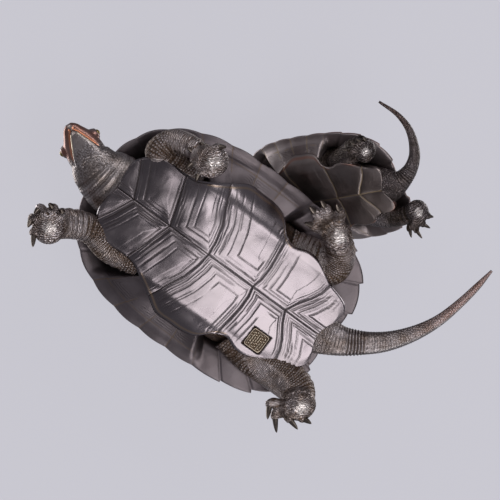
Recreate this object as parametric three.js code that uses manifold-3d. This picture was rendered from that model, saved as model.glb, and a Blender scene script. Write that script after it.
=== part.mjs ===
// Bronze turtle group: a large pond turtle stands on its four feet, with its head turned to its left
// and its long tail swept round to the left, and a young turtle of the same kind climbs its left flank.
// Millimetres, +Z up, the large turtle faces +X, the floor is Z = 0.
import * as THREE from 'three';
import { mergeVertices } from 'three/addons/utils/BufferGeometryUtils.js';
import Module from 'manifold-3d';

const wasm = await Module();
wasm.setup();

// Driving dimensions of the large turtle. The young one is the same animal at YOUNG_SCALE.
const YOUNG_SCALE = 0.622;
const SHELL_FRONT = 89;
const SHELL_REAR = 93;
const SHELL_HALF_WIDTH = 65;
const FRONT_SQUARENESS = 2.5;
const REAR_SQUARENESS = 3.2;
const SHELL_TOP = 80;
const RIM_SIDE = 36;
const RIM_FRONT_RISE = 9;
const RIM_REAR_DROP = 4;
const RIM_THICKNESS = 3.2;
const TAIL_BAY = 5;
const KEEL = 2.4;
const MARGINALS = 25;
const SCALLOP = 0.9;
const SAW_TOOTH = 2.6;
const BELLY = 12.5;
const BRIDGE_LINE = 27;
const PLATE_THICKNESS = 7;
const SEAM_DEPTH = 0.9;
const SEAM_HALF_WIDTH = 0.9;
const SCUTE_WIDTH = 34;
const COSTAL_LINE = 0.86;
// Vertebral plates, front to rear: where they meet on the midline, and half widths there and between.
const VERTEBRAL_ENDS = [78, 50, 21, -12, -45, -79];
const VERTEBRAL_END_WIDTHS = [17, 13, 13, 13, 12, 21];
const VERTEBRAL_MIDDLE_WIDTHS = [18, 20, 21, 20, 24];
const SEAL_SIDE = 13.4;
const SEAL_PLACE = [-49.7, -26];
// Middle of the whole group in plan, from the middle of the large shell.
const GROUP_MIDDLE = [-10.51, 37.68];

// The bridge joins belly and shell between these places, and fades in over a short stretch at each end.
const BRIDGE_ENDS = [44, -38];
const BRIDGE_FADE = 14;
// The belly's middle half is slightly crowned; outside it, the bridges sweep up to the rim.
const BELLY_MIDDLE = 32;
const BELLY_CROWN = 0.0012;
const BRIDGE_SWEEP = 0.036;

// Height of the dome over the rim, as a share of its full rise, from the middle (0) to the rim (1).
const DOME_PROFILE = [[0, 1], [0.3, 0.93], [0.5, 0.81], [0.7, 0.58], [0.85, 0.3], [0.93, 0.13], [1, 0.03]];

// Left half of the belly plate: places where its outline bends, front to rear.
const BELLY_OUTLINE = [
  [77.5, 0], [79.6, 9.7], [79.2, 18.5], [75, 25], [67.8, 30.4], [59.8, 32], [52, 31.6], [43, 32.3],
  [34, 36.5], [22, 43.5], [11, 50], [0, 50.2], [-9, 50], [-17, 47.5], [-25, 38.5],
  [-33, 35.6], [-42.7, 38.6], [-51, 38], [-60.2, 33.8], [-67.2, 30.2], [-75.6, 28], [-82, 25.4],
  [-85.4, 20.7], [-85, 15], [-82.2, 9], [-80, 4], [-79.6, 0],
];
// Belly seams, each from the midline to the outline: gular, humeral, pectoral, abdominal, femoral, anal.
const BELLY_SEAMS = [
  [[65.6, 0], [68.6, 7], [71.8, 14], [76.5, 22.8]],
  [[38, 0], [40.1, 7], [42.6, 15], [48, 31.9]],
  [[8.2, 0], [9.2, 9], [12, 20], [17, 30], [22, 43.5]],
  [[-26.7, 0], [-28.4, 6.5], [-28.6, 15.7], [-27.6, 26], [-26, 37.6]],
  [[-52.6, 0], [-56.4, 7.5], [-62, 15.5], [-65.4, 22], [-67.2, 30.2]],
];
// The belly plate's upturned edge: [share of the outline, height over it].
const BELLY_LIP = [[0.995, 3], [0.9, PLATE_THICKNESS - 1]];
// Under the shell, each step inwards from the rim where a limb comes out and at the bridge: [share, height].
const UNDERSIDE = [
  { open: [0.996, -RIM_THICKNESS / 2], bridge: [0.996, -RIM_THICKNESS / 2] },
  { open: [0.87, 1.5], bridge: [0.88, -6] },
  { open: [0.81, 9], bridge: [0.77, BRIDGE_LINE - RIM_SIDE] },
  { open: [0.55, 19], bridge: [0.56, 20 - RIM_SIDE] },
];
const UNDERSIDE_PEAK = 40;
// The body inside the shell: [share of the rim's outline, height].
const BODY_LEVELS = [[0.6, 15], [0.75, 24], [0.75, 40], [0.6, 58]];
// A foot's pad: [share of its size in plan, share of its height].
const PAD_LEVELS = [[0.8, 0], [1, 0.3], [0.94, 0.62], [0.6, 0.95]];
// A toe and its claw: [distance from the claw's tip, height, radius].
const TOE_STATIONS = [[10, 5, 3.6], [4.5, 4.2, 2.2], [0, 0.8, 0.3]];

const clamp = (t, low = 0, high = 1) => Math.min(Math.max(t, low), high);
const mix = (a, b, t) => a + (b - a) * t;
const ease = (t) => clamp(t) ** 2 * (3 - 2 * clamp(t));
const power = (t, n) => Math.sign(t) * Math.abs(t) ** n;

function along(table, t) {
  const last = table.length - 1;
  let k = 0;
  while (k < last - 1 && t > table[k + 1][0]) k += 1;
  const share = clamp((t - table[k][0]) / (table[k + 1][0] - table[k][0]));
  return mix(table[k][1], table[k + 1][1], ease(share) * 0.3 + share * 0.7);
}

function polylinePoint(points, t) {
  const lengths = [0];
  for (let i = 1; i < points.length; i += 1) {
    const [from, to] = [points[i - 1], points[i]];
    lengths.push(lengths[i - 1] + Math.hypot(to[0] - from[0], to[1] - from[1]));
  }
  const goal = clamp(t) * lengths.at(-1);
  let k = 0;
  while (k < points.length - 2 && goal > lengths[k + 1]) k += 1;
  const share = (goal - lengths[k]) / (lengths[k + 1] - lengths[k]);
  return [0, 1].map((i) => mix(points[k][i], points[k + 1][i], share));
}

// Closed solid from rings with equal point counts. Each end ring is closed with a fan round its middle.
function solidFromRings(rings) {
  const count = rings[0].length;
  const places = rings.flat();
  const middle = (ring) => [0, 1, 2].map((i) => ring.reduce((sum, point) => sum + point[i], 0) / count);
  const first = places.push(middle(rings[0])) - 1;
  const last = places.push(middle(rings.at(-1))) - 1;
  const index = [];
  for (let j = 0; j < count; j += 1) {
    const next = (j + 1) % count;
    index.push(first, next, j);
    for (let k = 0; k < rings.length - 1; k += 1) {
      const [a, b] = [k * count + j, k * count + next];
      index.push(a, b, b + count, a, b + count, a + count);
    }
    const base = (rings.length - 1) * count;
    index.push(last, base + j, base + next);
  }
  return solid(places, index);
}

function solid(places, index) {
  let volume = 0;
  for (let i = 0; i < index.length; i += 3) {
    const [a, b, c] = [0, 1, 2].map((k) => places[index[i + k]]);
    volume += a[0] * (b[1] * c[2] - b[2] * c[1])
      + a[1] * (b[2] * c[0] - b[0] * c[2])
      + a[2] * (b[0] * c[1] - b[1] * c[0]);
  }
  const facing = volume > 0 ? index : index.toReversed();
  const geometry = new THREE.BufferGeometry();
  geometry.setAttribute('position', new THREE.Float32BufferAttribute(places.flat(), 3));
  geometry.setIndex(facing);
  const merged = mergeVertices(geometry, 1e-4);
  return new wasm.Manifold(new wasm.Mesh({
    numProp: 3,
    vertProperties: Float32Array.from(merged.attributes.position.array),
    triVerts: Uint32Array.from(merged.index.array),
  }));
}

const joined = (solids) => solids.reduce((all, next) => all.add(next));

// Shell

function reach(x) {
  return x > 0 ? [SHELL_FRONT, FRONT_SQUARENESS] : [SHELL_REAR, REAR_SQUARENESS];
}

// 0 at the middle of the shell in plan, 1 at its rim.
function shellShare(x, y) {
  const [length, n] = reach(x);
  return (Math.abs(x / length) ** n + Math.abs(y / SHELL_HALF_WIDTH) ** n) ** (1 / n);
}

function rimHeight(x) {
  if (x > 0) return RIM_SIDE + RIM_FRONT_RISE * (x / SHELL_FRONT) ** 1.6;
  return RIM_SIDE - RIM_REAR_DROP * ease(-x / SHELL_REAR);
}

function domeHeight(x, y) {
  const share = shellShare(x, y);
  const rim = rimHeight(share > 0.05 ? x / share : 0);
  const keel = KEEL * Math.exp(-((y / 5) ** 2)) * (1 - clamp(share) ** 4);
  return mix(rim, SHELL_TOP - KEEL, along(DOME_PROFILE, share)) + keel;
}

// A place on the shell in plan: turn 0 is the front middle, 0.5 the rear middle, going round the left side.
const rimDense = Array.from({ length: 1001 }, (_, i) => {
  const angle = (Math.PI * i) / 1000;
  const [length, n] = reach(Math.cos(angle));
  return [length * power(Math.cos(angle), 2 / n), SHELL_HALF_WIDTH * power(Math.sin(angle), 2 / n)];
});

function rimPlace(turn, share = 1) {
  const [x, y] = polylinePoint(rimDense, 2 * turn);
  const scute = (turn * MARGINALS + 0.5) % 1;
  const edge = ease((share - COSTAL_LINE) / (1 - COSTAL_LINE));
  const bulge = SCALLOP * Math.sin(Math.PI * scute) + SAW_TOOTH * ease((-x - 30) / 40) * scute ** 2;
  const bay = x < 0 ? TAIL_BAY * Math.exp(-((y / 14) ** 2)) : 0;
  const stretch = share * (1 + (edge * bulge - bay) / Math.hypot(x, y));
  return { x: x * stretch, y: y * stretch, rim: rimHeight(x) };
}

// How much of the rim belongs to the bridge, which closes the side between the leg openings.
function bridgeShare(x) {
  return ease((BRIDGE_ENDS[0] - x) / BRIDGE_FADE) * ease((x - BRIDGE_ENDS[1]) / BRIDGE_FADE);
}

const flip = ([x, y, ...rest]) => [x, -y, ...rest];
const mirrored = (points) => points.toReversed().map(flip);
const midpoint = (p, q) => [(p[0] + q[0]) / 2, (p[1] + q[1]) / 2];

// Turns at which the marginal seams meet the rim, and where the big plates' seams meet the costal line.
const marginalSeams = Array.from({ length: (MARGINALS + 1) / 2 }, (_, k) => (k + 0.5) / MARGINALS);
const COSTAL_TURNS = [0.075, 0.158, 0.247, 0.338, 0.427];

const inside = (from, to) => (turn) => turn > from + 1e-6 && turn < to - 1e-6;

// Outlines of all plates seen from above, left half and middle, with every shared corner in both neighbours.
function plateOutlines() {
  const inner = (turn) => {
    const { x, y } = rimPlace(turn, COSTAL_LINE);
    return [x, y];
  };
  const between = (from, to) => [from, ...marginalSeams.filter(inside(from, to)), to];
  const halfway = (k) => (VERTEBRAL_ENDS[k] + VERTEBRAL_ENDS[k + 1]) / 2;
  const middles = VERTEBRAL_MIDDLE_WIDTHS.map((half, k) => [halfway(k), half]);
  const ends = VERTEBRAL_ENDS.map((x, k) => [x, VERTEBRAL_END_WIDTHS[k]]);
  const vertebral = middles.map((middle, k) => {
    const front = k === 0 ? between(0, COSTAL_TURNS[0]).map(inner) : [[VERTEBRAL_ENDS[k], 0], ends[k]];
    const last = k === middles.length - 1;
    const rear = last ? between(COSTAL_TURNS[k], 0.5).map(inner) : [ends[k + 1], [VERTEBRAL_ENDS[k + 1], 0]];
    const left = [...front, middle, ...rear];
    return [...left, ...mirrored(left).slice(1, -1)];
  });
  const costal = [0, 1, 2, 3].map((k) => {
    const rim = between(COSTAL_TURNS[k], COSTAL_TURNS[k + 1]).map(inner).toReversed();
    const fore = [midpoint(rim.at(-1), middles[k])];
    const aft = [midpoint(middles[k + 1], rim[0])];
    const [first, last] = [k === 0, k === COSTAL_TURNS.length - 2];
    const inward = [...(first ? [] : fore), middles[k], ends[k + 1], middles[k + 1], ...(last ? [] : aft)];
    return [...inward, ...rim].toReversed();
  });
  return { vertebral, costal, inner, between };
}

// One plate: its outline lies on the seams' floor, and its top is drawn in and raised over them.
function plateFaces(outline, floor, top, drawnIn, rounds) {
  const middle = [0, 1].map((i) => outline.reduce((sum, corner) => sum + corner[i], 0) / outline.length);
  const ring = (keep, height) => outline.map(([x, y]) => {
    const away = Math.hypot(x - middle[0], y - middle[1]);
    const share = keep === 0 ? 1 - drawnIn / away : keep;
    const [px, py] = [mix(middle[0], x, share), mix(middle[1], y, share)];
    return [px, py, height(px, py)];
  });
  const base = outline.map(([x, y, z]) => [x, y, z ?? floor(x, y)]);
  const rings = [base, ring(0, top), ...rounds.map((keep) => ring(keep, top))];
  return bandFaces(rings, [...middle, top(...middle)]);
}

// Triangles, as corner places, between rings with equal point counts, closed with a fan at the last one.
function bandFaces(rings, tip) {
  const count = rings[0].length;
  const faces = [];
  for (let j = 0; j < count; j += 1) {
    const next = (j + 1) % count;
    for (let k = 0; k < rings.length - 1; k += 1) {
      const [a, b, c, d] = [rings[k][j], rings[k][next], rings[k + 1][next], rings[k + 1][j]];
      faces.push([a, b, c], [a, c, d]);
    }
    if (tip) faces.push([rings.at(-1)[j], rings.at(-1)[next], tip]);
  }
  return faces;
}

const flipFaces = (faces) => faces.map(([a, b, c]) => [flip(c), flip(b), flip(a)]);

function solidFromFaces(faces) {
  return solid(faces.flat(), Array.from({ length: faces.length * 3 }, (_, i) => i));
}

// The whole shell: vertebral, costal and marginal plates above, and the underside from the rim inwards.
function shellSolid(phases, rounds) {
  const { vertebral, costal, inner, between } = plateOutlines();
  const floor = (x, y) => domeHeight(x, y) - SEAM_DEPTH;
  const raised = (outline, levels) => plateFaces(outline, floor, domeHeight, SEAM_HALF_WIDTH, levels);
  const faces = vertebral.flatMap((outline) => raised(outline, rounds));
  costal.forEach((outline) => {
    const side = raised(outline, rounds);
    faces.push(...side, ...flipFaces(side));
  });
  const edge = (turn) => {
    const { x, y, rim } = rimPlace(turn);
    return [x, y, rim + RIM_THICKNESS / 2 - SEAM_DEPTH];
  };
  const stops = marginalSeams.slice(0, -1).map((turn, k) => [turn, marginalSeams[k + 1]]);
  const cornerTurns = (from, to) => {
    return [from, ...COSTAL_TURNS.filter(inside(from, to)), to];
  };
  const rimTurns = (from, to) => phases.map((phase) => Math.min(from + phase / MARGINALS, to));
  stops.forEach(([from, to]) => {
    const near = cornerTurns(from, to).map(inner);
    const far = [...rimTurns(from, to), to].map(edge).toReversed();
    const side = raised([...near, ...far].toReversed(), []);
    faces.push(...side, ...flipFaces(side));
  });
  const nuchal = between(0, marginalSeams[0]);
  const front = nuchal.map(inner);
  const lip = nuchal.map(edge).toReversed();
  const collar = [...mirrored(front).slice(0, -1), ...front, ...lip, ...mirrored(lip).slice(1)].toReversed();
  faces.push(...raised(collar, []));
  const left = [0, ...stops.flatMap(([from, to]) => rimTurns(from, to)), 0.5];
  const round = (place) => {
    const side = left.map(place);
    return [...side, ...mirrored(side).slice(1, -1)];
  };
  const under = UNDERSIDE.map(({ open, bridge }) => round((turn) => {
    const { x, y, rim } = rimPlace(turn);
    const closed = bridgeShare(x);
    const share = mix(open[0], bridge[0], closed);
    return [x * share, y * share, rim + mix(open[1], bridge[1], closed)];
  }));
  faces.push(...bandFaces([round(edge), ...under], [0, 0, UNDERSIDE_PEAK]).map((face) => face.toReversed()));
  return solidFromFaces(faces);
}

// The body inside the shell, which closes the leg and neck openings.
function bodySolid() {
  const left = marginalSeams.map((turn) => rimPlace(turn)).map(({ x, y }) => [x, y]);
  const rim = [...left, ...mirrored(left).slice(1)];
  return solidFromRings(BODY_LEVELS.map(([share, z]) => rim.map(([x, y]) => [x * share, y * share, z])));
}

// Belly plate

const bellyBend = new THREE.SplineCurve(BELLY_OUTLINE.map(([x, y]) => new THREE.Vector2(x, y)));
const bellyEdge = bellyBend.getPoints(400).map((point) => [point.x, point.y]);

function bellyHeight(x, y) {
  const bridge = bridgeShare(x) * BRIDGE_SWEEP * Math.max(0, Math.abs(y) - BELLY_MIDDLE) ** 2;
  const ends = 1.2 * ease((Math.abs(x) - 55) / 30);
  const crown = BELLY_CROWN * Math.min(Math.abs(y), BELLY_MIDDLE) ** 2 + ends;
  return BELLY + bridge + crown;
}

// Place on the outline where a seam ends, as a share of the outline's length.
function outlineShare([x, y]) {
  let best = 0;
  bellyEdge.forEach((point, i) => {
    const [goal, now] = [bellyEdge[best], point].map((p) => Math.hypot(p[0] - x, p[1] - y));
    if (now < goal) best = i;
  });
  let length = 0;
  let upTo = 0;
  for (let i = 1; i < bellyEdge.length; i += 1) {
    length += Math.hypot(bellyEdge[i][0] - bellyEdge[i - 1][0], bellyEdge[i][1] - bellyEdge[i - 1][1]);
    if (i === best) upTo = length;
  }
  return upTo / length;
}

// A belly scute's shape: u runs from its front seam to its rear one, v from the midline to the outline.
function bellyPatch(k) {
  const seams = [[BELLY_OUTLINE[0]], ...BELLY_SEAMS, [BELLY_OUTLINE.at(-1)]];
  const [front, rear] = [seams[k], seams[k + 1]];
  const ends = [front, rear].map((seam) => outlineShare(seam.at(-1)));
  const seamPlace = (seam, v) => (seam.length === 1 ? seam[0] : polylinePoint(seam, v));
  return (u, v) => {
    const edge = polylinePoint(bellyEdge, mix(ends[0], ends[1], u));
    const [a, b] = [seamPlace(front, v), seamPlace(rear, v)];
    return [0, 1].map((i) => mix(a[i], b[i], u) + mix(mix(front[0][i], rear[0][i], u), edge[i], v)
      - mix(mix(front[0][i], rear[0][i], u), mix(front.at(-1)[i], rear.at(-1)[i], u), v));
  };
}

// The belly plate: twelve scutes with V seams between them, a rounded edge and a flat inner face.
function bellySolid(steps) {
  const faces = [];
  const outline = [];
  const quad = (a, b, c, d) => faces.push([a, b, c], [a, c, d]);
  for (let k = 0; k < 6; k += 1) {
    const patch = bellyPatch(k);
    const [ahead, behind] = [patch(0, 0)[0], patch(1, 0)[0]];
    const low = [SEAM_HALF_WIDTH / (ahead - behind), SEAM_HALF_WIDTH / SCUTE_WIDTH];
    const place = (u, v, lift) => {
      const [x, y] = patch(u, v);
      return [x, y, bellyHeight(x, y) + lift];
    };
    const steady = Array.from({ length: steps + 1 }, (_, i) => i / steps);
    const drawnIn = (u, v) => [mix(low[0], 1 - low[0], u), mix(low[1], 1 - low[1], v)];
    const raised = steady.map((u) => steady.map((v) => place(...drawnIn(u, v), 0)));
    const floor = steady.map((u) => steady.map((v) => place(u, v, SEAM_DEPTH)));
    for (let i = 0; i < steps; i += 1) {
      for (let j = 0; j < steps; j += 1) {
        quad(raised[i][j], raised[i][j + 1], raised[i + 1][j + 1], raised[i + 1][j]);
      }
      quad(floor[0][i], floor[0][i + 1], raised[0][i + 1], raised[0][i]);
      quad(raised[steps][i], raised[steps][i + 1], floor[steps][i + 1], floor[steps][i]);
      quad(floor[i + 1][0], floor[i][0], raised[i][0], raised[i + 1][0]);
      quad(raised[i + 1][steps], raised[i][steps], floor[i][steps], floor[i + 1][steps]);
      outline.push(floor[i][steps]);
    }
  }
  outline[0] = [...BELLY_OUTLINE[0], bellyHeight(...BELLY_OUTLINE[0]) + SEAM_DEPTH];
  outline.push([...BELLY_OUTLINE.at(-1), bellyHeight(...BELLY_OUTLINE.at(-1)) + SEAM_DEPTH]);
  const edge = [...outline, ...mirrored(outline).slice(1, -1)];
  const step = (share, lift) => edge.map(([x, y, z]) => [x * share, y * share, z + lift]);
  const rings = [edge, ...BELLY_LIP.map(([share, lift]) => step(share, lift))];
  const inner = bandFaces(rings, [0, 0, BELLY + PLATE_THICKNESS]).map((face) => face.toReversed());
  return solidFromFaces([...faces, ...flipFaces(faces), ...inner]);
}

// Limbs, neck, head and tail

// A bent limb: stations [x, y, z, half width, half height], smoothed, with rings every few millimetres.
function limb(stations, steps, sides) {
  const spine = stations.map(([x, y, z]) => new THREE.Vector3(x, y, z));
  const curve = new THREE.CatmullRomCurve3(spine, false, 'centripetal');
  const rings = [];
  let across = new THREE.Vector3(0, 1, 0);
  for (let i = 0; i <= steps; i += 1) {
    const t = i / steps;
    const at = curve.getPoint(t);
    const ahead = curve.getTangent(t);
    across = across.clone().projectOnPlane(ahead).normalize();
    if (i === 0) across = new THREE.Vector3(0, 0, 1).cross(ahead).normalize();
    const up = ahead.clone().cross(across);
    const place = t * (stations.length - 1);
    const k = Math.min(Math.floor(place), stations.length - 2);
    const share = ease(place - k);
    const wide = mix(stations[k][3], stations[k + 1][3], share);
    const high = mix(stations[k][4], stations[k + 1][4], share);
    rings.push(Array.from({ length: sides }, (_, j) => {
      const turn = (2 * Math.PI * (j + 0.5)) / sides;
      const point = at.clone()
        .addScaledVector(across, wide * Math.cos(turn))
        .addScaledVector(up, high * Math.sin(turn));
      return [point.x, point.y, point.z];
    }));
  }
  return solidFromRings(rings);
}

// A foot: a low pad with a flat sole, and toes that each end in a curved claw.
// toes holds [angle from the foot's heading in degrees, distance to the claw's tip] for each toe.
function foot({ place: [x, y], floor, size: [long, wide], turn, toes, height }, { sides, clawSides }) {
  const heading = THREE.MathUtils.degToRad(turn);
  const out = (angle, far, side = 0) => [
    x + far * Math.cos(heading + angle) - side * Math.sin(heading + angle),
    y + far * Math.sin(heading + angle) + side * Math.cos(heading + angle),
  ];
  const pad = solidFromRings(PAD_LEVELS.map(([share, level]) => Array.from({ length: sides }, (_, j) => {
    const angle = (2 * Math.PI * (j + 0.5)) / sides;
    const [far, side] = [share * long * Math.cos(angle), share * wide * Math.sin(angle)];
    return [...out(0, far, side), floor + height * level];
  })));
  const claws = toes.map(([degrees, tip]) => {
    const angle = THREE.MathUtils.degToRad(degrees);
    const stations = TOE_STATIONS.map(([back, z, r]) => [...out(angle, tip - back), floor + z, r, r]);
    return limb(stations, TOE_STATIONS.length - 1, clawSides);
  });
  return joined([pad, ...claws]);
}

// Head lofts run along the head's own axis: [distance ahead of the jaw joint, half width, top, bottom].
const SKULL = [
  [-13, 9.5, 7.5, -8], [-7, 11.6, 9.6, -9], [0, 12.2, 10.6, -7.5], [7, 11.6, 10.4, -5.6],
  [13, 9.6, 8.8, -4.8], [18, 6.6, 6.2, -4.6], [22, 3.9, 3.6, -4.6], [23.4, 2, 1.4, -3.6],
];
const LOWER_JAW = [
  [-8, 9, -4, -9.6], [0, 9.4, -3.6, -10], [7, 7.2, -3.4, -9], [13, 4.6, -3.4, -7.8], [17.6, 2.2, -3.4, -6.6],
  [19, 0.8, -3.8, -5.6],
];
const EYE = { ahead: 9.4, aside: 9.4, up: 3.4, size: 3.4 };

function head({ place, turn, pitch }, sides, eyeLevels) {
  const frame = new THREE.Matrix4().makeTranslation(...place)
    .multiply(new THREE.Matrix4().makeRotationZ(THREE.MathUtils.degToRad(turn)))
    .multiply(new THREE.Matrix4().makeRotationY(THREE.MathUtils.degToRad(-pitch)));
  const set = (x, y, z) => new THREE.Vector3(x, y, z).applyMatrix4(frame).toArray();
  const loft = (sections) => solidFromRings(sections.map(([ahead, half, top, bottom]) =>
    Array.from({ length: sides }, (_, j) => {
      const angle = (2 * Math.PI * (j + 0.5)) / sides;
      const [c, s] = [power(Math.cos(angle), 0.85), power(Math.sin(angle), 0.85)];
      return set(ahead, half * c, mix(bottom, top, (s + 1) / 2));
    })));
  const ball = (y) => solidFromRings(eyeLevels.map((level) => Array.from({ length: sides }, (_, j) => {
    const angle = (2 * Math.PI * j) / sides;
    const wide = EYE.size * Math.sqrt(1 - level ** 2);
    return set(EYE.ahead + wide * Math.cos(angle), y + wide * Math.sin(angle), EYE.up + EYE.size * level);
  })));
  return joined([loft(SKULL), loft(LOWER_JAW), ball(EYE.aside), ball(-EYE.aside)]);
}

// Poses. Feet hold place, floor, size [long, wide], turn in degrees and each toe's [angle, length].
const foreFoot = (place, turn, toes) => ({ place, floor: 0, size: [12, 12.5], turn, toes, height: 11 });
const hindFoot = (place, turn, toes) => ({ place, floor: 0, size: [12.5, 10.8], turn, toes, height: 11 });
const MOTHER = {
  neck: [
    [52, 0, 34, 20, 12], [70, 0, 33, 21, 13], [83, 0, 32, 19.5, 12.5], [93, 1, 32, 16.5, 11],
    [101, 4, 32.5, 13, 9.5],
  ],
  head: { place: [102, 3.8, 33], turn: 22, pitch: 4 },
  tail: [
    [-66, 0, 27, 16, 10], [-82, 0.5, 23, 13.5, 9.5], [-95, 4.6, 20.5, 9.6, 8.6], [-106, 11, 19, 7.6, 7],
    [-117.4, 20.2, 17.6, 6.4, 6], [-128.8, 34.6, 16, 4.9, 4.6], [-136.8, 51, 14, 3.6, 3.4],
    [-141.4, 70.6, 12, 2.7, 2.6], [-143.4, 85, 11, 2.1, 2.1], [-144.4, 98, 10, 0.8, 0.8],
  ],
  limbs: [
    [
      [40, -28, 26, 12, 10], [58, -34, 24, 9, 8], [76, -31, 21, 9, 8.5],
      [88, -35, 15, 9.5, 8], [96, -40, 9, 10, 6],
    ],
    [
      [40, 26, 26, 12, 10], [56, 31, 25, 9, 8], [70, 33, 21, 9, 8],
      [68, 43, 17, 7.5, 7], [58, 47, 11, 8.5, 7], [48, 47.5, 8, 9, 6],
    ],
    [
      [-34, 28, 27, 15, 11], [-54, 36, 24, 14, 11], [-71, 41, 20, 12, 10],
      [-68, 51, 14, 10, 9], [-58, 57, 9.5, 9, 6.5],
    ],
    [
      [-38, -28, 26, 14, 11], [-60, -35, 23, 13, 11], [-79, -36, 19, 12.5, 10],
      [-92, -36, 13, 11, 9], [-96, -42, 9, 9.5, 6],
    ],
  ],
  feet: [
    foreFoot([98.5, -43], -8, [[-86, 16], [-34, 17], [4, 17], [44, 17.5], [84, 16]]),
    foreFoot([43, 47.5], 162, [[-88, 16], [-52, 17], [-20, 18], [12, 18], [46, 16]]),
    hindFoot([-51, 60.5], 44, [[-42, 22], [-24, 21], [20, 18], [50, 15.5]]),
    hindFoot([-95.5, -46.5], -82, [[-42, 15.5], [-12, 17.5], [22, 20], [48, 17]]),
  ],
};

const YOUNG_TOES = [[-60, 14], [-28, 15], [2, 16], [32, 15], [62, 14]];
const YOUNG = {
  neck: [[52, 0, 34, 18, 12], [72, 0, 33, 17, 12.5], [86, 1, 34, 13.5, 11], [95, 3, 35, 11, 9.5]],
  head: { place: [98, 4, 35.5], turn: 14, pitch: -6 },
  tail: [
    [-66, 0, 27, 15, 10], [-84, 0, 23, 12.5, 9.5], [-98, 3, 24, 9.5, 8.6], [-108, 9, 32, 7.2, 6.8],
    [-113.5, 18, 40, 5.7, 5.4], [-115.5, 31, 46, 4.5, 4.3], [-114.5, 46, 50, 3.5, 3.3],
    [-110, 60, 51, 2.6, 2.4], [-97, 82, 48, 1.2, 1.2],
  ],
  limbs: [
    [[40, -28, 27, 11, 10], [52, -36, 24, 9, 8], [62, -40, 17, 8, 7], [68, -42, 7.5, 7, 5]],
    [[40, 28, 27, 11, 10], [56, 36, 24, 9, 8], [68, 44, 17, 8, 7], [74, 49, 8.5, 7, 5]],
    [[-36, 30, 26, 13, 11], [-54, 43, 23, 12, 10], [-68, 51, 20, 10.5, 9], [-80, 55, 18, 9, 8]],
    [[-40, -28, 26, 13, 11], [-64, -35, 22, 11.5, 10], [-86, -35, 18, 10, 9], [-104, -31, 16, 9, 8]],
  ],
  feet: [
    { place: [70, -42], floor: -3.3, size: [10.5, 10], turn: -25, toes: YOUNG_TOES, height: 9 },
    { place: [76, 50], floor: -1.6, size: [10.5, 10], turn: 35, toes: YOUNG_TOES, height: 9 },
  ],
};

// The young turtle's hind feet stand beside the large one, so their places are the large turtle's.
const besideMother = (place, turn, toes) => ({ place, floor: 0.6, size: [8.6, 7.8], turn, toes, height: 8 });
const YOUNG_HIND_FEET = [
  besideMother([-31, 104], 55, [[-36, 11], [-12, 12], [14, 12], [38, 11]]),
  besideMother([-83, 98], 205, [[-52, 11], [-16, 12.5], [20, 14.5], [46, 14]]),
];

// The seal: a low square cushion on the right femoral scute.
function seal() {
  const half = SEAL_SIDE / 2;
  const [x, y] = SEAL_PLACE;
  const z = bellyHeight(x, y);
  const corners = [[1, 1], [-1, 1], [-1, -1], [1, -1]];
  const square = (side, height) => corners.map(([a, b]) => [x + a * side, y + b * side, z + height]);
  return solidFromRings([square(half - 0.6, -0.7), square(half, -0.2), square(half, 3)]);
}

function turtle(pose, detail) {
  return joined([
    shellSolid(detail.phases, detail.rounds),
    bodySolid(),
    bellySolid(detail.scute),
    limb(pose.neck, detail.bend, detail.sides),
    limb(pose.tail, detail.tail, detail.sides),
    head(pose.head, detail.sides, detail.eye),
    ...pose.limbs.map((stations) => limb(stations, detail.bend, detail.sides)),
    ...pose.feet.map((spec) => foot(spec, detail)),
  ]);
}

// How finely each turtle is faceted: points on a marginal plate's edge, rings on a big plate, steps on
// a belly scute, steps along a limb and the tail, sides of limbs and claws, and levels of an eye.
const FULL = {
  phases: [0, 0.9], rounds: [0.5], scute: 4, bend: 6, tail: 14, sides: 8, clawSides: 4, eye: [-0.75, 0, 0.75],
};
const SMALL = {
  phases: [0], rounds: [], scute: 2, bend: 4, tail: 9, sides: 6, clawSides: 3, eye: [-0.6, 0.6],
};

// The young turtle's place: heading and pitch in degrees, roll about its own axis, and its belly's middle.
const YOUNG_HEADING = -52.2;
const YOUNG_PITCH = 40.5;
const YOUNG_ROLL = -18.8;
const YOUNG_PLACE = [-33.5, 66.1, 45];

function placedYoung(young) {
  const turns = new THREE.Matrix4()
    .makeRotationZ(THREE.MathUtils.degToRad(YOUNG_HEADING))
    .multiply(new THREE.Matrix4().makeRotationY(THREE.MathUtils.degToRad(-YOUNG_PITCH)))
    .multiply(new THREE.Matrix4().makeRotationX(THREE.MathUtils.degToRad(YOUNG_ROLL)));
  const frame = new THREE.Matrix4().makeTranslation(...YOUNG_PLACE)
    .multiply(turns)
    .multiply(new THREE.Matrix4().makeScale(YOUNG_SCALE, YOUNG_SCALE, YOUNG_SCALE))
    .multiply(new THREE.Matrix4().makeTranslation(0, 0, -BELLY));
  return young.transform(frame.elements);
}

function meshOf(name, body, material) {
  const { vertProperties, triVerts } = body.getMesh();
  const geometry = new THREE.BufferGeometry();
  geometry.setAttribute('position', new THREE.BufferAttribute(vertProperties, 3));
  geometry.setIndex(new THREE.BufferAttribute(triVerts, 1));
  geometry.translate(-GROUP_MIDDLE[0], -GROUP_MIDDLE[1], 0);
  geometry.computeVertexNormals();
  const mesh = new THREE.Mesh(geometry, material);
  mesh.name = name;
  return mesh;
}

const darkBronze = new THREE.MeshStandardMaterial({ color: 0x6b625c, roughness: 0.42, metalness: 1 });
const brownBronze = new THREE.MeshStandardMaterial({ color: 0x5a4a3e, roughness: 0.46, metalness: 1 });

const mother = turtle(MOTHER, FULL).add(seal());
const hindFeet = YOUNG_HIND_FEET.map((spec) => foot(spec, SMALL));
const young = joined([placedYoung(turtle(YOUNG, SMALL)), ...hindFeet]);

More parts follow.
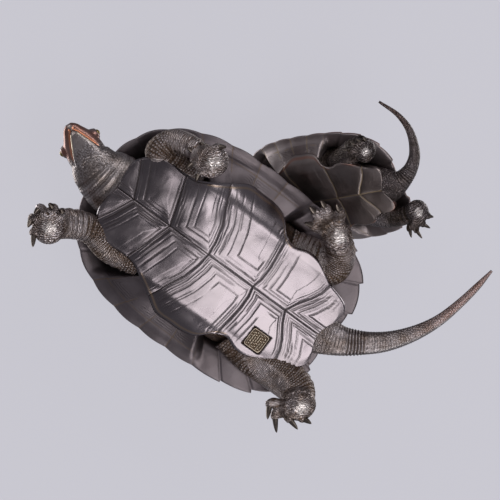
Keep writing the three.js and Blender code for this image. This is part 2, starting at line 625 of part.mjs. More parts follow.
const group = new THREE.Group();
group.add(meshOf('mother_turtle', mother, darkBronze));
group.add(meshOf('young_turtle', young, brownBronze));
export default group;
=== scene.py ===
import itertools
import math

import bpy
import numpy as np
from mathutils import Matrix, Vector


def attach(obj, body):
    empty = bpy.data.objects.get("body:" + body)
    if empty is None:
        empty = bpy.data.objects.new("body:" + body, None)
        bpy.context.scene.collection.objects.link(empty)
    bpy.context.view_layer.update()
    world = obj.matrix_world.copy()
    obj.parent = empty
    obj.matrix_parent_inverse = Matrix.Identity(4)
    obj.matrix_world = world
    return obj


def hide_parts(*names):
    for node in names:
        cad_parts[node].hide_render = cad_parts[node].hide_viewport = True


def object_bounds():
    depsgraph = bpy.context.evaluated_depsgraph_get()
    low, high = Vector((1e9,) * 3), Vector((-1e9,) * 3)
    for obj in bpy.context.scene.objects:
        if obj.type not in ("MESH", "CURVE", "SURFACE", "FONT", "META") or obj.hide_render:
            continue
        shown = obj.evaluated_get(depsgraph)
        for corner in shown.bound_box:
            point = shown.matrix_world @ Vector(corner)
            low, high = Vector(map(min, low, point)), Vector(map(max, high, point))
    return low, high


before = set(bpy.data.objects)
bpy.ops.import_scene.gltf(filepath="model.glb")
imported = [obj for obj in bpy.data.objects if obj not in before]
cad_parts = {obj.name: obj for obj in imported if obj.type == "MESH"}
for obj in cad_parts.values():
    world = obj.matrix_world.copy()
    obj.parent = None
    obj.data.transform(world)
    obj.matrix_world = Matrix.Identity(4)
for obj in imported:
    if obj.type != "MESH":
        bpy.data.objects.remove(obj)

# Bronze turtle group: a large pond turtle with a young one on its left flank, both cast in bronze.
# Shapes are worked out in millimetres in the large turtle's own frame: it faces +X, its left is +Y, and the
# floor is Z = 0. The young turtle is shaped the same way and then set in its place. Pieces end in metres.

CAD_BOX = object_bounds()
MM = 0.001

# Driving sizes of a turtle.
SHELL_FRONT = 89.0
SHELL_REAR = 93.0
SHELL_HALF_WIDTH = 65.0
FRONT_SQUARENESS = 2.5
REAR_SQUARENESS = 3.2
SHELL_TOP = 80.0
RIM_SIDE = 36.0
RIM_FRONT_RISE = 9.0
RIM_REAR_DROP = 4.0
RIM_THICKNESS = 3.2
TAIL_BAY = 5.0
KEEL = 2.4
MARGINALS = 25
SCALLOP = 0.9
SAW_TOOTH = 2.6
BELLY = 12.5
PLATE_THICKNESS = 7.0
SEAM_DEPTH = 0.9
SEAM_HALF_WIDTH = 0.9
LONG_SEAM = 9
COSTAL_LINE = 0.86
VERTEBRAL_ENDS = [78, 50, 21, -12, -45, -79]
VERTEBRAL_END_WIDTHS = [17, 13, 13, 13, 12, 21]
VERTEBRAL_MIDDLE_WIDTHS = [18, 20, 21, 20, 24]
COSTAL_TURNS = [0.075, 0.158, 0.247, 0.338, 0.427]
DOME_PROFILE = [(0, 1), (0.3, 0.93), (0.5, 0.81), (0.7, 0.58), (0.85, 0.3), (0.93, 0.13), (1, 0.03)]
SEAL_SIDE = 13.4
SEAL_SQUARENESS = 9
SEAL_PLACE = (-49.7, -26.0)
GROUP_MIDDLE = (-10.51, 37.68)

BELLY_OUTLINE = [
    (77.5, 0), (79.6, 9.7), (79.2, 18.5), (75, 25), (67.8, 30.4), (59.8, 32), (52, 31.6), (43, 32.3),
    (34, 36.5), (22, 43.5), (11, 50), (0, 50.2), (-9, 50), (-17, 47.5), (-25, 38.5),
    (-33, 35.6), (-42.7, 38.6), (-51, 38), (-60.2, 33.8), (-67.2, 30.2), (-75.6, 28), (-82, 25.4),
    (-85.4, 20.7), (-85, 15), (-82.2, 9), (-80, 4), (-79.6, 0),
]
BELLY_SEAMS = [
    [(65.6, 0), (68.6, 7), (71.8, 14), (76.5, 22.8)],
    [(38, 0), (40.1, 7), (42.6, 15), (48, 31.9)],
    [(8.2, 0), (9.2, 9), (12, 20), (17, 30), (22, 43.5)],
    [(-26.7, 0), (-28.4, 6.5), (-28.6, 15.7), (-27.6, 26), (-26, 37.6)],
    [(-52.6, 0), (-56.4, 7.5), (-62, 15.5), (-65.4, 22), (-67.2, 30.2)],
]

# The young turtle's size and place: heading, pitch and roll in degrees, and where its belly's middle is.
YOUNG_SCALE = 0.622
YOUNG_HEADING = -52.2
YOUNG_PITCH = 40.5
YOUNG_ROLL = -18.8
YOUNG_PLACE = (-33.5, 66.1, 45.0)

# How finely each turtle is meshed: columns on a marginal plate, rows on the shell, belly steps, skin grain.
# "seam" is the half width of the belly's seams, and "rings" is how strong its growth lines are.
MOTHER_DETAIL = {"columns": 22, "rows": 96, "belly_step": 0.395, "grain": 0.58, "tail_rings": 420,
                 "seal": True, "seam": 0.42, "rings": 1.0}
YOUNG_DETAIL = {"columns": 12, "rows": 60, "belly_step": 0.74, "grain": 0.9, "tail_rings": 240,
                "seal": False, "seam": 0.8, "rings": 0.3}


def ease(t):
    """A soft step from 0 at 0 to 1 at 1."""
    t = np.clip(t, 0, 1)
    return t * t * (3 - 2 * t)


def mix(a, b, t):
    return a + (b - a) * t


def power(t, n):
    return np.sign(t) * np.abs(t) ** n


def bell(t):
    """A soft hump: 1 at 0, and next to nothing past 2 on either side."""
    return np.exp(-(t ** 2))


def stacked(*columns):
    """Columns of numbers side by side, as the rows of one table."""
    return np.stack(columns, axis=-1)


def lengths(points):
    """How far along a chain of points each one lies."""
    return np.concatenate([[0], np.cumsum(np.linalg.norm(np.diff(points, axis=0), axis=1))])


def smooth_through(table, t):
    """A smooth curve through a table of (place, value) rows."""
    xs, ys = np.array(table, float).T
    slopes = np.gradient(ys, xs)
    k = np.clip(np.searchsorted(xs, t, side="right") - 1, 0, len(xs) - 2)
    width = xs[k + 1] - xs[k]
    u = np.clip((t - xs[k]) / width, 0, 1)
    start = (1 + 2 * u) * (1 - u) ** 2 * ys[k] + u * (1 - u) ** 2 * width * slopes[k]
    return start + u * u * (3 - 2 * u) * ys[k + 1] + u * u * (u - 1) * width * slopes[k + 1]


# Steady noise

def scattered(cell, seed):
    """A steady number from 0 to 1 for each whole-number cell."""
    value = np.sin(cell @ np.array([127.1, 311.7, 74.7]) + seed * 53.3) * 43758.5453
    return value - np.floor(value)


def cloud(points, size, seed):
    """Soft noise from 0 to 1 with blobs of the given size."""
    place = points / size
    base = np.floor(place)
    part = ease(place - base)
    total = np.zeros(len(place))
    for corner in itertools.product((0, 1), repeat=3):
        weight = np.prod(np.where(np.array(corner) == 1, part, 1 - part), axis=1)
        total += weight * scattered(base + corner, seed)
    return total


def uneven(points, size, seed, height=1.0):
    """Soft noise about zero, this high from its lowest to its highest."""
    return height * (cloud(points, size, seed) - 0.5)


def patches(points, size, seed, above, over):
    """Patches of soft noise: 0 up to one level of it, 1 from a little above that."""
    return ease((cloud(points, size, seed) - above) / over)


def warped(points, size, seed, height):
    """Points pushed about a little, so that a pattern on them looks grown."""
    return points + stacked(*[uneven(points, size, seed + i, height) for i in range(3)])


def pebbles(points, size, seed):
    """Rounded cells: 0 in the furrow between two cells, about 1 in a cell's middle."""
    place = points / size
    base = np.floor(place)
    nearest = np.full(len(place), 9.0)
    second = np.full(len(place), 9.0)
    for corner in itertools.product((-1, 0, 1), repeat=3):
        cell = base + corner
        centre = cell + 0.5 + 0.7 * (stacked(*[scattered(cell, seed + i) for i in range(3)]) - 0.5)
        away = np.linalg.norm(place - centre, axis=1)
        second = np.minimum(second, np.maximum(nearest, away))
        nearest = np.minimum(nearest, away)
    return ease((second - nearest) / 0.35)


def distance_to(points, chain):
    """Distance in plan from each point to a chain of straight stretches."""
    best = np.full(len(points), 1e9)
    for a, b in zip(chain[:-1], chain[1:]):
        a, b = np.array(a, float), np.array(b, float)
        along = np.clip((points - a) @ (b - a) / ((b - a) @ (b - a)), 0, 1)
        best = np.minimum(best, np.linalg.norm(points - (a + along[:, None] * (b - a)), axis=1))
    return best


# Meshes

def grid_faces(rows, columns, closed):
    """Quads of a grid of points, row after row."""
    j = np.arange(columns if closed else columns - 1)
    next_j = (j + 1) % columns
    i = np.arange(rows - 1)[:, None] * columns
    return np.stack([i + j, i + next_j, i + columns + next_j, i + columns + j], axis=-1).reshape(-1, 4)


def linked(name, data):
    """A new object in the scene."""
    thing = bpy.data.objects.new(name, data)
    bpy.context.scene.collection.objects.link(thing)
    return thing


def mesh_object(name, points, quads, triangles=()):
    """A Blender object from points in millimetres and faces that point outwards."""
    mesh = bpy.data.meshes.new(name)
    faces = [tuple(face) for face in np.asarray(quads).tolist()] + [tuple(face) for face in triangles]
    mesh.from_pydata(np.asarray(points, float).tolist(), [], faces)
    mesh.polygons.foreach_set("use_smooth", np.ones(len(mesh.polygons), bool))
    mesh.validate()
    return linked(name, mesh)


def coordinates(mesh):
    flat = np.empty(len(mesh.vertices) * 3)
    mesh.vertices.foreach_get("co", flat)
    return flat.reshape(-1, 3)


def move_to(mesh, points):
    mesh.vertices.foreach_set("co", points.ravel())
    mesh.update()


def normals(mesh):
    flat = np.empty(len(mesh.vertices) * 3)
    mesh.vertex_normals.foreach_get("vector", flat)
    return flat.reshape(-1, 3)


def paint(mesh, name, values):
    """Store one number for each vertex, which the finish reads."""
    layer = mesh.attributes.get(name) or mesh.attributes.new(name, "FLOAT", "POINT")
    layer.data.foreach_set("value", np.asarray(values, np.float32))


def loft(rings):
    """Closed skin over rings of equal count, with a fan over each end."""
    rings = np.asarray(rings, float)
    count, sides = rings.shape[:2]
    points = np.concatenate([rings.reshape(-1, 3), [rings[0].mean(0)], [rings[-1].mean(0)]])
    first, last = count * sides, count * sides + 1
    base = (count - 1) * sides
    ends = [(first, (j + 1) % sides, j) for j in range(sides)]
    ends += [(last, base + j, base + (j + 1) % sides) for j in range(sides)]
    return points, grid_faces(count, sides, True), ends


def spine(stations, count):
    """A limb's middle line at even steps: places and half sizes, ahead, across, up, and distances along it.

    Each station is (x, y, z, half width, half height)."""
    stations = np.array(stations, float)
    at = lengths(stations[:, :3])
    t = np.linspace(0, at[-1], count)
    values = stacked(*[smooth_through(stacked(at, column), t) for column in stations.T])
    ahead = np.gradient(values[:, :3], axis=0)
    ahead /= np.linalg.norm(ahead, axis=1)[:, None]
    across = np.empty_like(ahead)
    turned = np.cross([0, 0, 1], ahead[0])
    for i, direction in enumerate(ahead):
        turned = turned - direction * (turned @ direction)
        turned /= np.linalg.norm(turned)
        across[i] = turned
    return values, ahead, across, np.cross(ahead, across), t


def tube(stations, count, sides, bulge=None):
    """A limb's rings. bulge(t, turn) gives its relief in millimetres."""
    values, _, across, up, t = spine(stations, count)
    turn = 2 * np.pi * np.arange(sides) / sides
    rings = []
    for i in range(count):
        extra = np.zeros(sides) if bulge is None else bulge(t[i], turn)
        wide, high = (values[i, 3] + extra) * np.cos(turn), (values[i, 4] + extra) * np.sin(turn)
        rings.append(values[i, :3] + np.outer(wide, across[i]) + np.outer(high, up[i]))
    return np.array(rings)


def round_spine(points, stations):
    """For each point: distance along the limb and turn round it. Also the limb's mean half size."""
    values, ahead, across, up, t = spine(stations, 90)
    best = np.concatenate([np.argmin(np.linalg.norm(part[:, None] - values[None, :, :3], axis=2), axis=1)
                           for part in np.array_split(points, max(len(points) // 20000, 1))])
    out = points - values[best, :3]
    turn = np.arctan2(np.sum(out * up[best], axis=1), np.sum(out * across[best], axis=1))
    return t[best] + np.sum(out * ahead[best], axis=1), turn, float(values[best, 3:].mean())


def joined_object(name, skins):
    """One object from several closed skins, each (points, quads, triangles)."""
    points, quads, triangles, start = [], [], [], 0
    for skin_points, skin_quads, skin_triangles in skins:
        points.append(skin_points)
        quads.append(np.asarray(skin_quads) + start)
        triangles += [tuple(index + start for index in face) for face in skin_triangles]
        start += len(skin_points)
    return mesh_object(name, np.concatenate(points), np.concatenate(quads), triangles)


def applied(piece):
    """Turn a piece with modifiers into a plain mesh."""
    plain = bpy.data.meshes.new_from_object(piece.evaluated_get(bpy.context.evaluated_depsgraph_get()))
    piece.modifiers.clear()
    old = piece.data
    piece.data = plain
    bpy.data.meshes.remove(old)
    plain.polygons.foreach_set("use_smooth", np.ones(len(plain.polygons), bool))
    return piece


def fused(name, skins, grain, softness):
    """Overlapping skins fused into one, as clay limbs are pressed together and smoothed."""
    piece = joined_object(name, skins)
    fuse = piece.modifiers.new("fuse", "REMESH")
    fuse.mode = "VOXEL"
    fuse.voxel_size = grain
    soften = piece.modifiers.new("soften", "SMOOTH")
    soften.factor = 0.5
    soften.iterations = softness
    return applied(piece)


def finished(piece, place, material, node):
    """Set a piece in its place in metres, dress it, and hide the casting's plain part that it stands for."""
    mesh = piece.data
    move_to(mesh, (place(coordinates(mesh)) - [*GROUP_MIDDLE, 0]) * MM)
    mesh.materials.clear()
    mesh.materials.append(material)
    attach(piece, "root")
    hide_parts(node)
    return piece


# Shell

def shell_end(ahead):
    """The length and squareness of the front or rear half of the shell's outline."""
    squareness = np.where(ahead > 0, FRONT_SQUARENESS, REAR_SQUARENESS)
    return np.where(ahead > 0, SHELL_FRONT, SHELL_REAR), squareness


def rim_curve():
    """The left half of the shell's outline, front to rear, and how far along it each place is."""
    angle = np.linspace(0, np.pi, 2001)
    c, s = np.cos(angle), np.sin(angle)
    length, n = shell_end(c)
    x, y = length * power(c, 2 / n), SHELL_HALF_WIDTH * np.abs(s) ** (2 / n)
    return x, y, lengths(stacked(x, y))


RIM_X, RIM_Y, RIM_AT = rim_curve()


def shell_share(x, y):
    """How far out a place is, from 0 in the shell's middle to 1 on its outline."""
    length, n = shell_end(x)
    return (np.abs(x / length) ** n + np.abs(y / SHELL_HALF_WIDTH) ** n) ** (1 / n)


def rim_height(x):
    """How high the rim's middle is: raised over the neck, and lower over the tail."""
    front = RIM_SIDE + RIM_FRONT_RISE * np.clip(x / SHELL_FRONT, 0, 2) ** 1.6
    return np.where(x > 0, front, RIM_SIDE - RIM_REAR_DROP * ease(-x / SHELL_REAR))


def dome_height(x, y):
    """The shell's smooth top, from its keel down to its rim."""
    share = shell_share(x, y)
    rim = rim_height(np.where(share > 0.05, x / np.maximum(share, 0.05), 0))
    keel = KEEL * bell(y / 5) * (1 - np.clip(share, 0, 1) ** 4)
    return mix(rim, SHELL_TOP - KEEL, smooth_through(DOME_PROFILE, share)) + keel


def mirrored(turn):
    """A turn round the shell, with the right half brought over to the left."""
    return np.where(turn > 0.5, 1 - turn, turn)


def marginal_seam(turn):
    """Distance along the rim to the nearest seam between two marginal plates."""
    return np.abs((mirrored(turn) * MARGINALS + 1) % 1 - 0.5) / MARGINALS * 2 * RIM_AT[-1]


def rim_place(turn, share):
    """Plan place on the shell: turn 0 is its front middle, 0.5 its rear middle, by way of its left side."""
    folded = mirrored(turn)
    along = 2 * folded * RIM_AT[-1]
    x, y = np.interp(along, RIM_AT, RIM_X), np.interp(along, RIM_AT, RIM_Y)
    scute = (folded * MARGINALS + 0.5) % 1
    edge = ease((share - COSTAL_LINE) / (1 - COSTAL_LINE))
    bulge = SCALLOP * np.sin(np.pi * scute) + SAW_TOOTH * ease((-x - 30) / 40) * scute ** 2
    bay = np.where(x < 0, TAIL_BAY * bell(y / 14), 0)
    stretch = share * (1 + (edge * bulge - bay) / np.hypot(x, y))
    return x * stretch, np.where(turn > 0.5, -y, y) * stretch, rim_height(x)


def bridge_share(x, y):
    """How far a place belongs to the bridge between the leg pockets. Its front edge slants."""
    front = 44 + np.clip(np.abs(y) - 38, -4, 18)
    return ease((front - x) / 10) * ease((x + 38) / 12)


def dome_seams():
    """The seams between the big plates of the left half, as chains in plan."""
    inner = [rim_place(np.array(t), np.array(COSTAL_LINE))[:2] for t in COSTAL_TURNS]
    ends = list(zip(VERTEBRAL_ENDS, VERTEBRAL_END_WIDTHS))
    halfway = [(a + b) / 2 for a, b in zip(VERTEBRAL_ENDS[:-1], VERTEBRAL_ENDS[1:])]
    middles = list(zip(halfway, VERTEBRAL_MIDDLE_WIDTHS))
    side = [inner[0], middles[0]]
    for end, middle in zip(ends[1:-1], middles[1:]):
        side += [end, middle]
    side.append(inner[-1])
    across = [[(x, 0), (x, half)] for x, half in ends[1:-1]]
    costal = [[middle, rim] for middle, rim in zip(middles[1:-1], inner[1:-1])]
    return [side] + across + costal


def dome_relief(x, y, turn, share, seed):
    """Relief on the shell's top: seams, growth rings, uneven casting. Also the depth of its furrows."""
    plan = stacked(x, np.abs(y))
    away = np.minimum.reduce([distance_to(plan, chain) for chain in dome_seams()])
    line = np.abs(share - COSTAL_LINE) * np.hypot(x, y) / np.maximum(share, 0.05)
    away = np.minimum(np.where(share < COSTAL_LINE, away, marginal_seam(turn)), line)
    points = stacked(x, y, np.full_like(x, seed * 7.0))
    seam = ease(1 - away / (SEAM_HALF_WIDTH * 1.1))
    spacing = 2.5
    count = (away + uneven(points, 16, seed, 0.7)) / spacing
    nearest = np.abs(count - np.round(count)) * spacing
    between = ease((away - 1.4) / 1.2) * (1 - ease((away - 15) / 5))
    ring = between * (0.35 + 0.65 * cloud(points, 9, seed + 3)) * bell(nearest / 0.55)
    pillow = 0.9 * (1 - np.exp(-away / 5)) - 0.6
    height = pillow + uneven(points, 5, seed + 5, 0.25) - SEAM_DEPTH * seam - 0.32 * ring
    return height, np.clip(seam + 0.55 * ring, 0, 1)


def averaged(values, window):
    """A closed run of values, each replaced by the mean of the run around it."""
    doubled = np.concatenate([values[-window:], values, values[:window]])
    kernel = np.ones(window + 1)
    kernel[[0, -1]] = 0.5
    return np.convolve(doubled, kernel / window, "same")[window:-window]


def under_profiles():
    """Steps over the rolled rim and along the underside, as (share, height over the rim): in a front leg
    pocket, in a rear one, and at the bridge."""
    half = RIM_THICKNESS / 2
    roll = [(1.0, half * 0.6), (1.003, 0), (1.0, -half * 0.8)]
    pocket = roll + [(0.985, -half), (0.94, -half * 0.6), (0.87, 1.5), (0.84, 5), (0.81, 10), (0.74, 14),
                     (0.55, 19)]
    # The rear pockets are narrower: the marginal plates reach further in there.
    shelf = roll + [(0.985, -half), (0.93, -half * 0.7), (0.86, -0.4), (0.79, 0.6), (0.73, 2.5), (0.68, 8),
                    (0.55, 15)]
    bridge = roll + [(0.985, -half * 1.1), (0.945, -3.0), (0.9, -5.2)]
    return pocket, shelf, bridge


def under_ring(turn, step, detail, seed):
    """One ring of the shell's underside, and what its finish reads: furrow, rim, growth and grown."""
    profiles = under_profiles()
    (open_share, open_lift), (rear_share, rear_lift), (shut_share, shut_lift) = [
        [smooth_through(list(enumerate(column)), step) for column in zip(*profile)] for profile in profiles]
    x, y, rim = rim_place(turn, np.ones_like(turn))
    behind = ease((-x - 5) / 25)
    open_share, open_lift = mix(open_share, rear_share, behind), mix(open_lift, rear_lift, behind)
    # Past its last step the bridge sweeps in to meet the belly plate just under its edge.
    last, bridge_last = len(profiles[0]) - 1, len(profiles[2]) - 1
    swept = np.clip((step - bridge_last) / (last - bridge_last), 0, 1)
    inner = belly_reach(np.arctan2(np.abs(y), x)) / np.hypot(x, y)
    meet = belly_height(x * inner, y * inner) + 0.3 - rim
    shut_share = mix(shut_share, inner * 0.96, ease(swept) * 0.5 + swept * 0.5)
    closed = bridge_share(x, y)
    share = mix(open_share, shut_share, closed)
    lift = mix(open_lift, mix(shut_lift, meet, swept), closed)
    # The rim's scallops and teeth fade out on the way in over the bridge, where the plates lie flush.
    flush = closed * (1 - ease((share - 0.9) / 0.09))
    x, y = (mix(values, averaged(values, detail["columns"]), flush) for values in (x, y))
    plan = stacked(x * share, y * share, np.full_like(x, seed * 3.0))
    inward = (1 - share) * np.hypot(x, y)
    seam = marginal_seam(turn)
    furrow = ease(1 - seam / SEAM_HALF_WIDTH) * ease((share - 0.72) / 0.08)
    long_seam = ease(1 - np.abs(inward - LONG_SEAM) / SEAM_HALF_WIDTH)
    furrow = np.maximum(furrow, long_seam * closed)
    faint = 0.45 + 0.4 * ease((-x - 30) / 20)
    bumps = uneven(plan, 15, seed + 2, 0.4) + uneven(plan, 5, seed + 4, 0.15)
    swell = 0.5 * np.sin(np.pi * ((mirrored(turn) * MARGINALS + 0.5) % 1)) * ease((-x - 25) / 25)
    ridge = 0.7 * faint * furrow * (1 - 0.6 * closed) * ease(step)
    z = rim + lift + ridge + ease((step - 1.5) / 1.5) * (bumps - swell)
    depth = furrow ** 1.5 * np.maximum(faint * (0.4 + 0.6 * (step < 2)), 0.85 * closed)
    # Nested growth lines follow each plate's border on the bridge. The finish draws them.
    border = np.minimum(seam, np.abs(inward - LONG_SEAM) * 0.8)
    between = ease((border - 0.5) / 0.4) * (1 - ease(border - 4.4)) * ease((inward - 8) / 2)
    grown = closed * patches(plan, 11, seed + 15, 0.35, 0.2) * between
    lacquered = np.full_like(x, float(1 - ease((step - 0.6) / 1.6)))
    return stacked(x * share, y * share, z), depth, lacquered, border, grown


def shell_piece(name, detail, seed):
    """The whole upper shell: its plated top, the rolled rim, and the underside in to the leg pockets."""
    turn = np.arange(MARGINALS * detail["columns"]) / (MARGINALS * detail["columns"])
    none = np.zeros_like(turn)
    rows = []
    for share in np.linspace(0.012, 0.992, detail["rows"]):
        x, y, _ = rim_place(turn, np.full_like(turn, share))
        lift, furrow = dome_relief(x, y, turn, np.full_like(turn, share), seed)
        lacquered = none + ease((share - 0.9) / 0.08)
        rows.append((stacked(x, y, dome_height(x, y) + lift), furrow, lacquered, none, none))
    for step in np.linspace(0, len(under_profiles()[0]) - 1, detail["rows"] // 2):
        rows.append(under_ring(turn, step, detail, seed))
    rings, *painted = (np.array(column) for column in zip(*rows))
    points, quads, ends = loft(rings)
    piece = mesh_object(name, points, quads, ends)
    furrow, lacquered, growth, grown = (np.concatenate([values.ravel(), [0, 0]]) for values in painted)
    thicker = 0.3 * ease(points[:, 1] / 20) * ease((points[:, 0] - 5) / 20)
    left_over = ease((cloud(points, 9, seed + 12) + thicker - 0.4) / 0.15)
    left_over *= 0.4 + 0.6 * cloud(points, 2, seed + 13)
    paint(piece.data, "rim", lacquered * left_over * 0.85)
    paint(piece.data, "furrow", furrow)
    paint(piece.data, "growth", growth)
    paint(piece.data, "grown", grown)
    return piece


# Belly plate

def chain_place(chain, t):
    """Place at a share of a chain's length."""
    chain = np.array(chain, float)
    at = lengths(chain)
    goal = np.clip(t, 0, 1) * at[-1]
    return stacked(*[np.interp(goal, at, column) for column in chain.T])


def belly_edge():
    """The left half of the belly's outline, as a smooth curve."""
    outline = np.array(BELLY_OUTLINE, float)
    at = np.concatenate([[0], np.cumsum(np.linalg.norm(np.diff(outline, axis=0), axis=1) ** 0.5)])
    fine = np.linspace(0, at[-1], 900)
    return stacked(*[smooth_through(stacked(at, column), fine) for column in outline.T])


BELLY_EDGE = belly_edge()


def belly_reach(angle):
    """How far the belly's outline is from the middle, in the direction of an angle from straight ahead."""
    angles = np.arctan2(BELLY_EDGE[:, 1], BELLY_EDGE[:, 0])
    return np.interp(angle, angles, np.linalg.norm(BELLY_EDGE, axis=1))


def edge_share(point):
    """Where on the belly's outline a point is, as a share of the outline's length."""
    at = lengths(BELLY_EDGE)
    return at[np.argmin(np.linalg.norm(BELLY_EDGE - point, axis=1))] / at[-1]


def belly_height(x, y):
    """How high the belly is over the floor: bowed up at both ends and at the sides, most at the bridge."""
    bridge = bridge_share(x, y) * 0.036 * np.maximum(0, np.abs(y) - 32) ** 2
    bow = np.where(x > 8, 0.00085, 0.0003) * (x - 8) ** 2
    return BELLY + bridge + 0.0012 * np.minimum(np.abs(y), 32) ** 2 + bow


def belly_rows(step, columns):
    """Rows of plan points over the left half of the belly, front to rear, following its seams."""
    v = np.linspace(0, 1, columns)
    seams = [[BELLY_OUTLINE[0]] * 2] + BELLY_SEAMS + [[BELLY_OUTLINE[-1]] * 2]
    lines = [chain_place(seam, v) for seam in seams]
    marks = [edge_share(np.array(seam[-1])) for seam in seams]
    rows, scutes = [], []
    for k in range(6):
        front, rear = lines[k], lines[k + 1]
        count = max(int(np.linalg.norm(front - rear, axis=1).mean() / step), 8)
        for u in np.linspace(0, 1, count + 1)[(0 if k == 0 else 1):]:
            edge = chain_place(BELLY_EDGE, mix(marks[k], marks[k + 1], u))
            start = mix(front[0], rear[0], u)
            swept = mix(front, rear, u) + start + v[:, None] * (edge - start)
            swept -= start + v[:, None] * (mix(front[-1], rear[-1], u) - start)
            rows.append(swept)
            scutes.append(k)
    return np.array(rows), np.array(scutes)


# Growth lines of each belly scute, front to rear: how far in from its front seam they run, in millimetres.
BELLY_RINGS = [
    [2.2, 3.0, 3.9, 6.3, 7.1],
    [1.2, 1.9, 2.7, 3.4, 5.4, 6.2, 7.0, 9.4],
    [0.9, 1.6, 2.3, 3.1, 4.0, 5.1, 8.6, 9.5, 14.0],
    [1.3, 2.0, 2.8, 4.6, 5.5, 6.4, 10.2, 11.2, 16.5],
    [1.2, 1.9, 3.4, 4.2, 5.0, 7.6, 8.4, 12.2],
    [1.3, 2.1, 2.9, 4.6, 5.4, 7.4, 9.8, 10.6, 13.4],
]
# The same lines run this much closer to the midline and, bunched together, much closer to the rear seam.
RING_TO_MIDDLE = 0.62
RING_TO_REAR = 0.36
# Further than any place on a scute is from its seams.
FAR = 99.0


def belly_relief(plan, scute, reach, detail, seed):
    """Relief of the belly's scutes: seams, nested growth lines, soft cushions. Down is out."""
    middle = np.abs(plan[:, 1])
    flat = stacked(plan[:, 0], middle)
    front, rear = np.full((2, len(flat)), FAR)
    for k, seam in enumerate(BELLY_SEAMS):
        away = distance_to(flat, seam)
        front = np.where(scute == k + 1, away, front)
        rear = np.where(scute == k, away, rear)
    away = np.minimum(np.minimum(front, rear), middle)
    side = np.sign(plan[:, 1])
    points = stacked(plan[:, 0], plan[:, 1], scute * 31.0 + side * 9.0)
    # A growth line follows the front seam, the midline and the rear seam, whichever it is nearest to.
    borders = stacked(front, middle / RING_TO_MIDDLE, rear / RING_TO_REAR)
    inward = borders.min(axis=1) + uneven(points, 9, seed, 0.55) + uneven(points, 2.6, seed + 7, 0.2)
    squeeze = np.array([1.0, RING_TO_MIDDLE, RING_TO_REAR])[borders.argmin(axis=1)]
    line = np.zeros(len(flat))
    terrace = np.zeros(len(flat))
    for k, rings in enumerate(BELLY_RINGS):
        for number, level in enumerate(rings):
            cell = stacked(np.full(len(flat), float(number)), scute.astype(float), side)
            close = (inward - level - 0.5 * (scattered(cell, seed) - 0.5)) * squeeze
            strong = 0.45 + 0.55 * scattered(cell, seed + 1)
            strong = strong * np.where((squeeze < 0.5) & (number % 2 == 1), 0.25, 1.0)
            inside = (scute == k) * strong * patches(points, 10, seed + 2 + number, 0.2, 0.25)
            line = np.maximum(line, inside * bell(close / 0.38))
            terrace += inside * ease(close / 0.7 + 0.5)
    fade = ease((away - 0.9) / 0.5) * (1 - ease((reach - 0.8) / 0.2))
    line *= fade * detail["rings"]
    seam = bell(away / detail["seam"])
    # The front plates are the most cushioned and uneven.
    ahead = detail["rings"] * ease((plan[:, 0] - 2) / 25)
    cushion = 0.16 * (1 - np.exp(-away / 1.2)) + 0.16 * (1 - np.exp(-rear / 3.0))
    cushion += 0.8 * ahead * (1 - np.exp(-away / 7))
    waves = uneven(points, 21, seed + 4, 0.7) + uneven(points, 9, seed + 6, 0.25)
    waves += ahead * uneven(points, 15, seed + 14, 1.7)
    lift = 0.32 * seam + 0.24 * line - 0.06 * fade * terrace - cushion + waves
    return lift, np.clip(seam + 0.95 * line, 0, 1)


